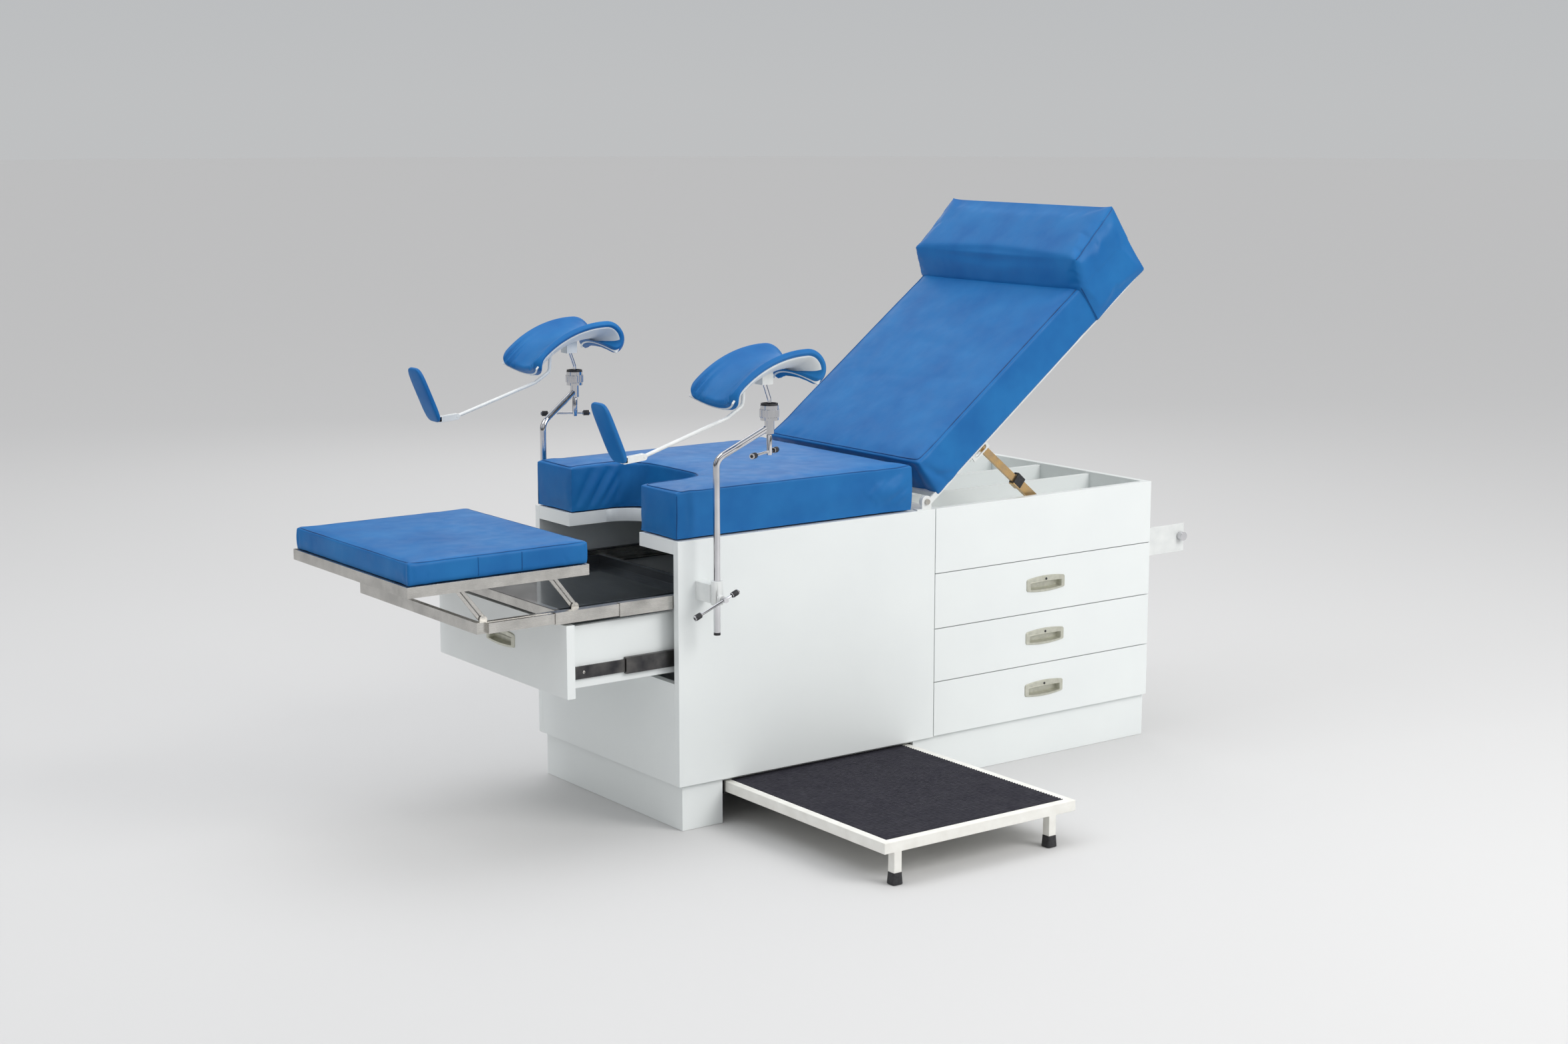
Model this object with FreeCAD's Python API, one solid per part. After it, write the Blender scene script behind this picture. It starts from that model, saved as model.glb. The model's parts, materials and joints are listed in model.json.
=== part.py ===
import FreeCAD, Part
import math
import os

# Medical exam table with leg holders.  Millimetres.  Origin on the floor, under the middle of the cabinet.
# +X runs towards the head end, +Y to the far side, +Z up.  The near side (-Y) has the step and the drawers.
# Pieces of the cabinet are placed from its foot face (FOOT) and its near face (NEAR).

Vec = FreeCAD.Vector

# ---------------------------------------------------------------- driving dimensions
# cabinet
CABINET_LENGTH = 1417.0
CABINET_WIDTH = 600.0
CABINET_TOP = 650.0
FRONT_LENGTH = 719.0
PANEL = 18.0
PLINTH_HEIGHT = 104.0
PLINTH_TOP_BOARD = 6.0
PLINTH_INSET_SIDE = 11.6
PLINTH_INSET_FOOT = 14.5
FOOT_PANEL_TOP = 333.0
FRONT_GAP = 2.0

# seat
SEAT_BOARD = 30.0
SEAT_LENGTH = 662.0
SEAT_CUSHION = 110.0
NOTCH_WIDTH = 295.0
NOTCH_DEPTH = 180.0
NOTCH_RADIUS = 80.0

# backrest, measured along and square to the line through its hinge
HINGE_FROM_FOOT = 695.0
HINGE_ABOVE_TOP = 19.0
BACK_RAISE = 37.5
BACK_START = 32.0
BACK_LENGTH = 816.0
BACK_BOARD = 15.0
BACK_CUSHION = 93.0
BACK_REST_GAP = 0.5
BACK_BOARD_INSET = 12.0
BOLT_R = 4.0
BOLT_HEAD_R = 6.5
BOLT_HEAD = 5.0
RUNNING_FIT = 0.05
LUG_R = 14.0
LUG_PLATE = 5.0
HINGE_ARM = 72.0
PILLOW_LENGTH = 195.0
PILLOW_FRONT = 69.0
PILLOW_BACK = 94.0
PILLOW_SLOPE = 28.0
PILLOW_CAP = 8.0

# backrest stays
STAY_FOOT_FROM_FOOT = 1105.0
STAY_FOOT_Z = 600.0
STAY_FROM_SIDE = 34.0
STAY_WIDTH = 22.0
STAY_DEPTH = 12.0
STAY_WALL = 1.5
STAY_CLEAR = 0.4
STAY_CHANNEL = 130.0
STAY_ROD = 180.0
STAY_COLLAR = 24.0
STAY_PIVOT_ALONG = 220.0
STAY_PIVOT_BELOW = 14.0
STAY_PIN_R = 3.5
STAY_SLOT = 25.5
STAY_SLOT_CLEAR = 4.2

# instrument tray
TRAY_FLOOR_Z = 497.0
TRAY_FLOOR = 8.0
PARTITION = 12.0
PARTITION_DROP = 5.0
PARTITION_NEAR = 204.0
PARTITION_FAR = 389.0

# sliding foot section
FOOT_WIDTH = 530.0
FOOT_REACH = 474.0
FOOT_STAGES = 3
FOOT_FRAME_LENGTH = 620.0
FOOT_FRAME_Z = 503.0
FOOT_FRAME_H = 24.0
FOOT_FRAME_W = 12.0
FOOT_RAIL_LENGTH = 560.0
FOOT_RAIL_SHEET = 1.6
RAIL_CLEAR = 0.4
TOP_FRAME_LENGTH = 429.0
TOP_FRAME_Z = 597.0
TOP_FRAME_H = 23.0
TOP_PAN = 3.5
FOOT_CUSHION = 49.0
FOOT_CUSHION_OVERHANG = 4.0
LEVER_FRONT = 22.0
LEVER_PITCH = 221.0
LEVER_LEAN = 60.0
LEVER_W = 16.0
LEVER_T = 4.0
LEVER_EYE_R = 9.0
LEVER_PIN_R = 3.0
LEVER_FOOT_LIFT = 3.0
LEVER_HEAD_LIFT = 9.0
LEVER_GAP = 0.5
CROSS_BAR_AT = 199.0
DRIP_TRAY_SHEET = 1.5

# foot drawer
FOOT_DRAWER_OPEN = 269.0
FOOT_DRAWER_FRONT = 20.0
FOOT_DRAWER_TOP = 496.5
FOOT_DRAWER_BOX = 480.0
FOOT_DRAWER_SIDE = 44.0
SLIDE_Z = 387.0
SLIDE_OUTER = 45.0
SLIDE_MID = 36.0
SLIDE_INNER = 27.0
SLIDE_LIP = 4.0
SLIDE_SHEET = 1.5
SLIDE_DEPTH = 12.0
SLIDE_LENGTH = 450.0

# side drawers
DRAWER_LINES = (495.0, 363.0, 235.0, 104.0)
DRAWER_BOX_DEPTH = 530.0
DRAWER_BOX_DROP = 14.0
DRAWER_BOX_LIFT = 4.0
DRAWER_WALL = 12.0
DRAWER_FLOOR = 6.0
PULL_LENGTH = 124.0
PULL_HEIGHT = 40.0
PULL_DEPTH = 14.0
PULL_WALL = 2.0
PULL_RIM = 9.0
PULL_PROUD = 2.5

# pull-out step
STEP_LEFT = 130.0
STEP_RIGHT = 659.0
STEP_REACH = 555.0
STEP_INNER = 37.0
STEP_TOP = 95.0
STEP_RAIL_W = 20.0
STEP_RAIL_H = 24.0
STEP_SHEET = 2.0
MAT = 6.0
STEP_LEG_INSET = 25.0
STEP_FOOT_H = 26.0
STEP_FOOT_W = 26.0
STEP_SLOT_SIDE = 8.0
GUIDE = 3.0
GUIDE_CLEAR = 1.0

# paper rail at the head end
PAPER_PLATE = 3.0
PAPER_REACH = 123.0
PAPER_LOW = 460.0
PAPER_HIGH = 531.0
PAPER_ROD_OUT = 109.0
PAPER_ROD_Z = 500.0
PAPER_ROD_R = 6.0
PAPER_KNOB_R = 11.0
PAPER_KNOB = 14.0

# leg holders
POST_FROM_FOOT = 60.0
POST_OUT = 60.0
POST_R = 7.5
POST_BOTTOM = 449.0
POST_BEND_Z = 831.0
POST_BEND_R = 28.0
ARM_FORWARD = 112.0
ARM_OUT = 38.0
ARM_RISE = 66.0
CLAMP_LOW = 516.0
CLAMP_HIGH = 568.0
CLAMP_R = 13.0
CLAMP_W = 30.0
CLAMP_SCREW_Z = 531.0
SCREW_R = 4.0
SCREW_HEAD_R = 6.0
TBAR_R = 3.0
TBAR_CAP_R = 6.0
TBAR_CAP = 18.0
SOCKET_R = 10.5
SOCKET_H = 29.0
NUT_R = 19.5
NUT_H = 32.0
BALL_R = 11.0
BALL_GAP = 0.3
STEM_R = 4.5
RING_H = 4.0
CUP_PAD = 15.0
CUP_SHELL = 4.0
CUP_TROUGH_R = 105.0
CUP_HALF_WIDTH = 80.0
CUP_ARC_R = 250.0
CUP_ARC = 48.0
CUP_CURL_R = 24.0
CUP_CURL = 135.0
CUP_TOP_FROM_POST = 155.0
CUP_TOP_Z = 1040.0
FOOT_ROD_R = 4.0
FOOT_ROD_FROM_FOOT = 102.0
FOOT_ROD_BEND_DROP = 92.0
PAD_HINGE_FROM_FOOT = -150.0
PAD_HINGE_Z = 860.0
PAD_LENGTH = 138.0
PAD_WIDTH = 60.0
PAD_THICK = 15.0
PAD_LEAN = 23.0

# ---------------------------------------------------------------- places worked out from them
FOOT = -CABINET_LENGTH / 2
HEAD = CABINET_LENGTH / 2
NEAR = -CABINET_WIDTH / 2
FAR = CABINET_WIDTH / 2
SEAM = FOOT + FRONT_LENGTH
INNER_NEAR = NEAR + PANEL
INNER_FAR = FAR - PANEL
SEAT_UNDER = CABINET_TOP - SEAT_BOARD
HINGE_X = FOOT + HINGE_FROM_FOOT
HINGE_Z = CABINET_TOP + HINGE_ABOVE_TOP
BACK_UNDER = BACK_REST_GAP - HINGE_ABOVE_TOP
BACK_PAD_UNDER = BACK_UNDER + BACK_BOARD
BACK_PAD_TOP = BACK_PAD_UNDER + BACK_CUSHION
BACK_END = BACK_START + BACK_LENGTH
FOOT_EDGE = FOOT_WIDTH / 2


# ---------------------------------------------------------------- shape helpers
def box(x0, x1, y0, y1, z0, z1):
    return Part.makeBox(x1 - x0, y1 - y0, z1 - z0, Vec(x0, y0, z0))


def cyl(start, end, radius):
    axis = end - start
    return Part.makeCylinder(radius, axis.Length, start, axis)


def fuse(shapes):
    joined = shapes[0].multiFuse(shapes[1:])
    return joined.removeSplitter()


def prism_y(points, y0, y1):
    """A flat outline of (x, z) points, carried from y0 to y1."""
    corners = [Vec(x, y0, z) for x, z in points]
    face = Part.Face(Part.makePolygon(corners + corners[:1]))
    return face.extrude(Vec(0, y1 - y0, 0))


def link(p, q, half_width, y0, y1):
    """A flat bar between two (x, z) points, rounded at both ends."""
    run = Vec(q[0] - p[0], 0, q[1] - p[1])
    side = Vec(-run.z, 0, run.x).normalize() * half_width
    corners = []
    for point, sign in ((p, 1), (q, 1), (q, -1), (p, -1)):
        corners.append((point[0] + sign * side.x, point[1] + sign * side.z))
    bar = prism_y(corners, y0, y1)
    eyes = [cyl(Vec(x, y0, z), Vec(x, y1, z), half_width) for x, z in (p, q)]
    return fuse([bar] + eyes)


def rounded_slab(x0, x1, y0, y1, z0, z1, radius):
    """A slab whose four upright corners are rounded."""
    slab = box(x0, x1, y0, y1, z0, z1)
    upright = [e for e in slab.Edges if abs(e.tangentAt(e.FirstParameter).z) > 0.9]
    return slab.makeFillet(radius, upright)


def bent_rod(points, bend_radius, radius):
    """A round rod along straight runs joined by tangent arcs."""
    edges = []
    start = points[0]
    for before, corner, after in zip(points, points[1:], points[2:]):
        back = (before - corner).normalize()
        ahead = (after - corner).normalize()
        half = back.getAngle(ahead) / 2
        trim = bend_radius / math.tan(half)
        middle = (back + ahead).normalize()
        centre = corner + middle * (bend_radius / math.sin(half))
        arc_from = corner + back * trim
        arc_to = corner + ahead * trim
        edges.append(Part.LineSegment(start, arc_from).toShape())
        edges.append(Part.Arc(arc_from, centre - middle * bend_radius, arc_to).toShape())
        start = arc_to
    edges.append(Part.LineSegment(start, points[-1]).toShape())
    path = Part.Wire(edges)
    ring = Part.Wire(Part.makeCircle(radius, points[0], points[1] - points[0]))
    return path.makePipeShell([ring], True, True)


def both_sides(shape):
    """The piece and its mirror image across the table's middle plane."""
    return Part.Compound([shape, far_copy(shape)])


def far_copy(shape):
    return shape.mirror(Vec(0, 0, 0), Vec(0, 1, 0))


def save(name, shape):
    shape.exportStep("parts/" + name + ".step")


# ---------------------------------------------------------------- cabinet
def plinth():
    near = NEAR + PLINTH_INSET_SIDE
    foot = FOOT + PLINTH_INSET_FOOT
    ceiling = PLINTH_HEIGHT - PLINTH_TOP_BOARD
    body = box(foot, HEAD, near, -near, 0, PLINTH_HEIGHT)
    step_bay = box(foot + PANEL, -PANEL / 2, near + PANEL, -near - PANEL, 0, ceiling)
    head_bay = box(PANEL / 2, HEAD - PANEL, near + PANEL, -near - PANEL, 0, ceiling)
    doorway_left = FOOT + STEP_LEFT - STEP_SLOT_SIDE
    doorway_right = FOOT + STEP_RIGHT + STEP_SLOT_SIDE
    doorway = box(doorway_left, doorway_right, near, near + PANEL, 0, ceiling)
    return body.cut(step_bay).cut(head_bay).cut(doorway)


def near_panels():
    """Board of the front section, and the fascia above the side drawers."""
    front = box(FOOT, SEAM, NEAR, INNER_NEAR, PLINTH_HEIGHT, CABINET_TOP)
    low = DRAWER_LINES[0] + FRONT_GAP
    fascia = box(SEAM + FRONT_GAP, HEAD, NEAR, INNER_NEAR, low, CABINET_TOP)
    return Part.Compound([front, fascia])


def far_panel():
    return box(FOOT, HEAD, INNER_FAR, FAR, PLINTH_HEIGHT, CABINET_TOP)


def foot_panel():
    return box(FOOT, FOOT + PANEL, INNER_NEAR, INNER_FAR, PLINTH_HEIGHT, FOOT_PANEL_TOP)


def head_panel():
    return box(HEAD - PANEL, HEAD, INNER_NEAR, INNER_FAR, PLINTH_HEIGHT, CABINET_TOP)


def carcass():
    """Bottom board and the upright board between the front and the drawer section, glued together."""
    floor = box(FOOT + PANEL, HEAD - PANEL, INNER_NEAR, INNER_FAR, PLINTH_HEIGHT, PLINTH_HEIGHT + PANEL)
    divider = box(SEAM, SEAM + PANEL, INNER_NEAR, INNER_FAR, PLINTH_HEIGHT + PANEL, CABINET_TOP)
    return fuse([floor, divider])


def instrument_tray():
    left = SEAM + PANEL
    right = HEAD - PANEL
    floor_top = TRAY_FLOOR_Z + TRAY_FLOOR
    floor = box(left, right, INNER_NEAR, INNER_FAR, TRAY_FLOOR_Z, floor_top)
    walls = []
    for start in (PARTITION_NEAR, PARTITION_FAR):
        y = NEAR + start
        walls.append(box(left, right, y, y + PARTITION, floor_top, CABINET_TOP - PARTITION_DROP))
    return fuse([floor] + walls)


def notch(z0, z1):
    """The U-shaped cut at the foot end of the seat."""
    deep = rounded_slab(FOOT - NOTCH_DEPTH, FOOT + NOTCH_DEPTH, -NOTCH_WIDTH / 2, NOTCH_WIDTH / 2, z0, z1,
                        NOTCH_RADIUS)
    return deep


def seat_board():
    board = box(FOOT, SEAM, INNER_NEAR, INNER_FAR, SEAT_UNDER, CABINET_TOP)
    return board.cut(notch(SEAT_UNDER, CABINET_TOP))


def seat_cushion():
    top = CABINET_TOP + SEAT_CUSHION
    cushion = box(FOOT, FOOT + SEAT_LENGTH, NEAR, FAR, CABINET_TOP, top)
    return cushion.cut(notch(CABINET_TOP, top))


# ---------------------------------------------------------------- backrest
def raised(shape):
    """Turn a piece drawn flat, with the hinge at the origin, up to the backrest's place."""
    turned = shape.copy()
    turned.rotate(Vec(0, 0, 0), Vec(0, -1, 0), BACK_RAISE)
    turned.translate(Vec(HINGE_X, 0, HINGE_Z))
    return turned


def hinge_arm(y0, y1):
    """Eye round the hinge bolt and the strap let into the edge of the back board, drawn flat."""
    strap_top = BACK_PAD_UNDER - RUNNING_FIT
    strap_low = BACK_UNDER + 1
    strap = box(0, BACK_START + HINGE_ARM, y0, y1, strap_low, strap_top)
    eye = cyl(Vec(0, y0, 0), Vec(0, y1, 0), LUG_R)
    hole = cyl(Vec(0, y0, 0), Vec(0, y1, 0), BOLT_R + RUNNING_FIT)
    return fuse([strap, eye]).cut(hole)


def back_board():
    edge = NEAR + BACK_BOARD_INSET
    board = box(BACK_START, BACK_END - BACK_BOARD_INSET, edge, -edge, BACK_UNDER, BACK_PAD_UNDER)
    arm_inner = NEAR + 4 + 2 * LUG_PLATE + 1
    slot = box(BACK_START, BACK_START + HINGE_ARM, edge, arm_inner, BACK_UNDER, BACK_PAD_UNDER)
    return raised(board.cut(slot).cut(far_copy(slot)))


def back_lugs():
    """Two hinge arms at the edges and four slotted plates for the stays, under the board."""
    arm_outer = NEAR + 3 + LUG_PLATE + 1
    arm = hinge_arm(arm_outer, arm_outer + LUG_PLATE)
    rod_middle = NEAR + STAY_FROM_SIDE + STAY_DEPTH / 2
    pivot_z = BACK_UNDER - STAY_PIVOT_BELOW
    plates = []
    for side in (-1, 1):
        inner = rod_middle + side * (STAY_DEPTH / 2 + 1)
        outer = inner + side * 3
        y0 = min(inner, outer)
        y1 = max(inner, outer)
        tab = box(STAY_PIVOT_ALONG - STAY_SLOT - 16, STAY_PIVOT_ALONG + 16, y0, y1,
                  pivot_z - STAY_SLOT_CLEAR - STAY_PIN_R - 4, BACK_UNDER)
        slot = link((STAY_PIVOT_ALONG - STAY_SLOT, pivot_z), (STAY_PIVOT_ALONG + 1, pivot_z),
                    STAY_PIN_R + STAY_SLOT_CLEAR, y0, y1)
        plates.append(tab.cut(slot))
    near_side = Part.Compound([raised(piece) for piece in [arm] + plates])
    return both_sides(near_side)


def back_cushion():
    pad = box(BACK_START, BACK_END, NEAR, FAR, BACK_PAD_UNDER, BACK_PAD_TOP)
    return raised(pad)


def pillow():
    """Wedge head pad on a sleeve that caps the end of the backrest."""
    start = BACK_END - PILLOW_LENGTH
    outline = [
        (start, BACK_PAD_TOP),
        (start + PILLOW_SLOPE, BACK_PAD_TOP + PILLOW_FRONT),
        (BACK_END + PILLOW_CAP + 5, BACK_PAD_TOP + PILLOW_BACK),
        (BACK_END + PILLOW_CAP, BACK_UNDER),
        (BACK_END, BACK_UNDER),
        (BACK_END, BACK_PAD_TOP),
    ]
    return raised(prism_y(outline, NEAR, FAR))


def hinge_bracket():
    """Plate on top of the near panel that carries the hinge bolt."""
    y0 = NEAR + 3
    y1 = y0 + LUG_PLATE
    eye = cyl(Vec(HINGE_X, y0, HINGE_Z), Vec(HINGE_X, y1, HINGE_Z), LUG_R)
    web = box(HINGE_X - LUG_R, HINGE_X + LUG_R, y0, y1, CABINET_TOP, HINGE_Z)
    base = box(HINGE_X - 2 * LUG_R, HINGE_X - 1, y0, INNER_NEAR, CABINET_TOP, CABINET_TOP + 3)
    hole = cyl(Vec(HINGE_X, y0, HINGE_Z), Vec(HINGE_X, y1, HINGE_Z), BOLT_R)
    return fuse([eye, web, base]).cut(hole)


def cabinet_brackets():
    """The white sheet-steel brackets: two for the backrest's hinge and two for the paper rod."""
    return both_sides(Part.Compound([hinge_bracket(), paper_bracket()]))


def bolt(x, z, y0, y1):
    """Bolt along +Y with its head at y0 and its nut at y1."""
    head = cyl(Vec(x, y0 - BOLT_HEAD, z), Vec(x, y0, z), BOLT_HEAD_R)
    shank = cyl(Vec(x, y0, z), Vec(x, y1, z), BOLT_R)
    nut = cyl(Vec(x, y1 - BOLT_HEAD, z), Vec(x, y1, z), BOLT_HEAD_R)
    return fuse([head, shank, nut])


def pivot_bolts():
    """Backrest hinge bolts and the lower bolts of the stays."""
    nut_end = NEAR + 3 + 2 * LUG_PLATE + 2 + BOLT_HEAD + 1
    hinge = bolt(HINGE_X, HINGE_Z, NEAR + 3, nut_end)
    stay_x = FOOT + STAY_FOOT_FROM_FOOT
    stay_inner = NEAR + STAY_FROM_SIDE + STAY_DEPTH
    shank = cyl(Vec(stay_x, INNER_NEAR, STAY_FOOT_Z), Vec(stay_x, stay_inner + 4, STAY_FOOT_Z), BOLT_R)
    washer = cyl(Vec(stay_x, stay_inner + 1, STAY_FOOT_Z), Vec(stay_x, stay_inner + 6, STAY_FOOT_Z), BOLT_HEAD_R)
    boss_end = NEAR + STAY_FROM_SIDE - 1
    boss = cyl(Vec(stay_x, INNER_NEAR, STAY_FOOT_Z), Vec(stay_x, boss_end, STAY_FOOT_Z), 2 * BOLT_R)
    return both_sides(Part.Compound([hinge, fuse([boss, shank, washer])]))


# ---------------------------------------------------------------- backrest stays
def stay_ends():
    """Lower pivot and upper pivot of a stay as (x, z), with the backrest raised."""
    lower = (FOOT + STAY_FOOT_FROM_FOOT, STAY_FOOT_Z)
    turn = math.radians(BACK_RAISE)
    below = BACK_UNDER - STAY_PIVOT_BELOW
    x = HINGE_X + STAY_PIVOT_ALONG * math.cos(turn) - below * math.sin(turn)
    z = HINGE_Z + STAY_PIVOT_ALONG * math.sin(turn) + below * math.cos(turn)
    return lower, (x, z)


def along_stay(shape):
    """Carry a piece drawn along +X from the lower pivot onto the stay's line."""
    lower, upper = stay_ends()
    slope = math.degrees(math.atan2(upper[1] - lower[1], upper[0] - lower[0]))
    placed = shape.copy()
    placed.rotate(Vec(0, 0, 0), Vec(0, -1, 0), slope)
    placed.translate(Vec(lower[0], 0, lower[1]))
    return placed


def stay_length():
    lower, upper = stay_ends()
    return math.hypot(upper[0] - lower[0], upper[1] - lower[1])


def stay_channels():
    y0 = NEAR + STAY_FROM_SIDE
    y1 = y0 + STAY_DEPTH
    half = STAY_WIDTH / 2
    outer = box(-half, STAY_CHANNEL, y0, y1, -half, half)
    inner = box(-half + 2 * BOLT_R + 10, STAY_CHANNEL, y0 + STAY_WALL, y1 - STAY_WALL, -half + STAY_WALL,
                half - STAY_WALL)
    heel = box(-half, -half + 2 * BOLT_R + 10, y0 + STAY_WALL, y1 - STAY_WALL, half - STAY_WALL, half)
    hole = cyl(Vec(0, y0, 0), Vec(0, y1, 0), BOLT_R + RUNNING_FIT)
    tube = outer.cut(inner).cut(hole).fuse(heel).removeSplitter()
    return both_sides(along_stay(Part.Compound([tube, stay_collar(y0, y1, half)])))


def stay_collar(y0, y1, half):
    """Moulded collar pressed over the mouth of a channel."""
    wall = 2.5
    start = STAY_CHANNEL - STAY_COLLAR / 2
    outer = box(start, start + STAY_COLLAR, y0 - wall, y1 + wall, -half - wall, half + wall)
    sleeve = box(start, STAY_CHANNEL, y0, y1, -half, half)
    mouth = box(STAY_CHANNEL, start + STAY_COLLAR, y0 + STAY_WALL, y1 - STAY_WALL, -half + STAY_WALL,
                half - STAY_WALL)
    return outer.cut(sleeve).cut(mouth)


def stay_rods():
    y0 = NEAR + STAY_FROM_SIDE + STAY_WALL + STAY_CLEAR
    y1 = NEAR + STAY_FROM_SIDE + STAY_DEPTH - STAY_WALL - STAY_CLEAR
    half = STAY_WIDTH / 2 - STAY_WALL - STAY_CLEAR
    reach = stay_length()
    bar = box(reach - STAY_ROD, reach, y0, y1, -half, half)
    eye = cyl(Vec(reach, y0, 0), Vec(reach, y1, 0), half)
    pin_reach = STAY_DEPTH / 2 + 7
    middle = (y0 + y1) / 2
    pin = cyl(Vec(reach, middle - pin_reach, 0), Vec(reach, middle + pin_reach, 0), STAY_PIN_R)
    return both_sides(along_stay(fuse([bar, eye, pin])))


# ---------------------------------------------------------------- sliding foot section
def foot_rail_pair(stage, shift):
    """One nested C-shaped rail on each side; stage 0 is screwed to the cabinet."""
    step = FOOT_RAIL_SHEET + RAIL_CLEAR
    middle = FOOT_FRAME_Z + FOOT_FRAME_H / 2
    half = 17.0 - stage * step
    back = INNER_NEAR + stage * step
    lip_edge = -FOOT_EDGE - RAIL_CLEAR * 5
    x0 = FOOT + PANEL + 4 - shift
    outer = box(x0, x0 + FOOT_RAIL_LENGTH, back, lip_edge, middle - half, middle + half)
    inner = box(x0, x0 + FOOT_RAIL_LENGTH, back + FOOT_RAIL_SHEET, lip_edge, middle - half + FOOT_RAIL_SHEET,
                middle + half - FOOT_RAIL_SHEET)
    return both_sides(outer.cut(inner))


def foot_slide_frame():
    """Lower stainless frame with its runners and the four lower pivot lugs."""
    front = FOOT - FOOT_REACH
    rear = front + FOOT_FRAME_LENGTH
    top = FOOT_FRAME_Z + FOOT_FRAME_H
    outer = box(front, rear, -FOOT_EDGE, FOOT_EDGE, FOOT_FRAME_Z, top)
    window = box(front + FOOT_FRAME_W, rear - FOOT_FRAME_W, -FOOT_EDGE + FOOT_FRAME_W, FOOT_EDGE - FOOT_FRAME_W,
                 FOOT_FRAME_Z, top)
    bar_x = front + CROSS_BAR_AT
    bar = box(bar_x, bar_x + FOOT_FRAME_W, -FOOT_EDGE + FOOT_FRAME_W, FOOT_EDGE - FOOT_FRAME_W,
              FOOT_FRAME_Z + 2, top - 2)
    rear_step = box(rear - FOOT_FRAME_W, rear, -FOOT_EDGE + FOOT_FRAME_W, FOOT_EDGE - FOOT_FRAME_W, top - 2, top)
    frame = outer.cut(window).cut(rear_step).fuse(bar)
    step = FOOT_RAIL_SHEET + RAIL_CLEAR
    middle = FOOT_FRAME_Z + FOOT_FRAME_H / 2
    runner_half = 17.0 - FOOT_STAGES * step
    runner_start = front + FOOT_FRAME_LENGTH - FOOT_RAIL_LENGTH - 38
    runner = box(runner_start, runner_start + FOOT_RAIL_LENGTH, INNER_NEAR + FOOT_STAGES * step, -FOOT_EDGE,
                 middle - runner_half, middle + runner_half)
    lugs = [lower_lug(x) for x in lever_feet()]
    side = [runner] + lugs
    return fuse([frame] + side + [far_copy(piece) for piece in side])


def lever_feet():
    """X of the front and the rear lower pivots."""
    front = FOOT - FOOT_REACH + LEVER_FRONT
    return front, front + LEVER_PITCH


def lever_foot_z():
    return FOOT_FRAME_Z + FOOT_FRAME_H + LEVER_FOOT_LIFT


def lever_head_z():
    return TOP_FRAME_Z + LEVER_HEAD_LIFT


def lug_and_pin(x, z, z_root):
    """Ear on the inner face of a side rail with the headed pin that a lever turns on."""
    rail = -FOOT_EDGE + FOOT_FRAME_W
    face = rail + 3
    ear = cyl(Vec(x, rail, z), Vec(x, face, z), LEVER_EYE_R)
    low = min(z, z_root)
    high = max(z, z_root)
    root = box(x - LEVER_EYE_R, x + LEVER_EYE_R, rail, face, low, high)
    lever_end = face + LEVER_GAP + LEVER_T + LEVER_GAP
    pin = cyl(Vec(x, rail, z), Vec(x, lever_end + 2, z), LEVER_PIN_R)
    head = cyl(Vec(x, lever_end, z), Vec(x, lever_end + 2, z), 2 * LEVER_PIN_R)
    return fuse([ear, root, pin, head])


def lower_lug(x):
    return lug_and_pin(x, lever_foot_z(), FOOT_FRAME_Z + 4)


def lever_pair(foot_x):
    """Flat levers at the near and the far side, leaning towards the foot end."""
    y0 = -FOOT_EDGE + FOOT_FRAME_W + 3 + LEVER_GAP
    y1 = y0 + LEVER_T
    foot = (foot_x, lever_foot_z())
    head = (foot_x - LEVER_LEAN, lever_head_z())
    bar = link(foot, head, LEVER_W / 2, y0, y1)
    holes = [cyl(Vec(x, y0, z), Vec(x, y1, z), LEVER_PIN_R + RUNNING_FIT) for x, z in (foot, head)]
    return both_sides(bar.cut(holes[0]).cut(holes[1]))


def top_frame_front():
    return FOOT - FOOT_REACH + LEVER_FRONT - LEVER_LEAN - 119.0


def foot_top_frame():
    front = top_frame_front()
    rear = front + TOP_FRAME_LENGTH
    top = TOP_FRAME_Z + TOP_FRAME_H
    outer = box(front, rear, -FOOT_EDGE, FOOT_EDGE, TOP_FRAME_Z, top)
    hollow = box(front + FOOT_FRAME_W, rear - FOOT_FRAME_W, -FOOT_EDGE + FOOT_FRAME_W, FOOT_EDGE - FOOT_FRAME_W,
                 TOP_FRAME_Z, top - TOP_PAN)
    frame = outer.cut(hollow)
    lugs = [lug_and_pin(x - LEVER_LEAN, lever_head_z(), top - TOP_PAN) for x in lever_feet()]
    return fuse([frame] + lugs + [far_copy(piece) for piece in lugs])


def foot_cushion():
    front = top_frame_front()
    low = TOP_FRAME_Z + TOP_FRAME_H
    rear = front + TOP_FRAME_LENGTH + FOOT_CUSHION_OVERHANG
    return box(front + 3, rear, -FOOT_EDGE + 1, FOOT_EDGE - 1, low, low + FOOT_CUSHION)


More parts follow.
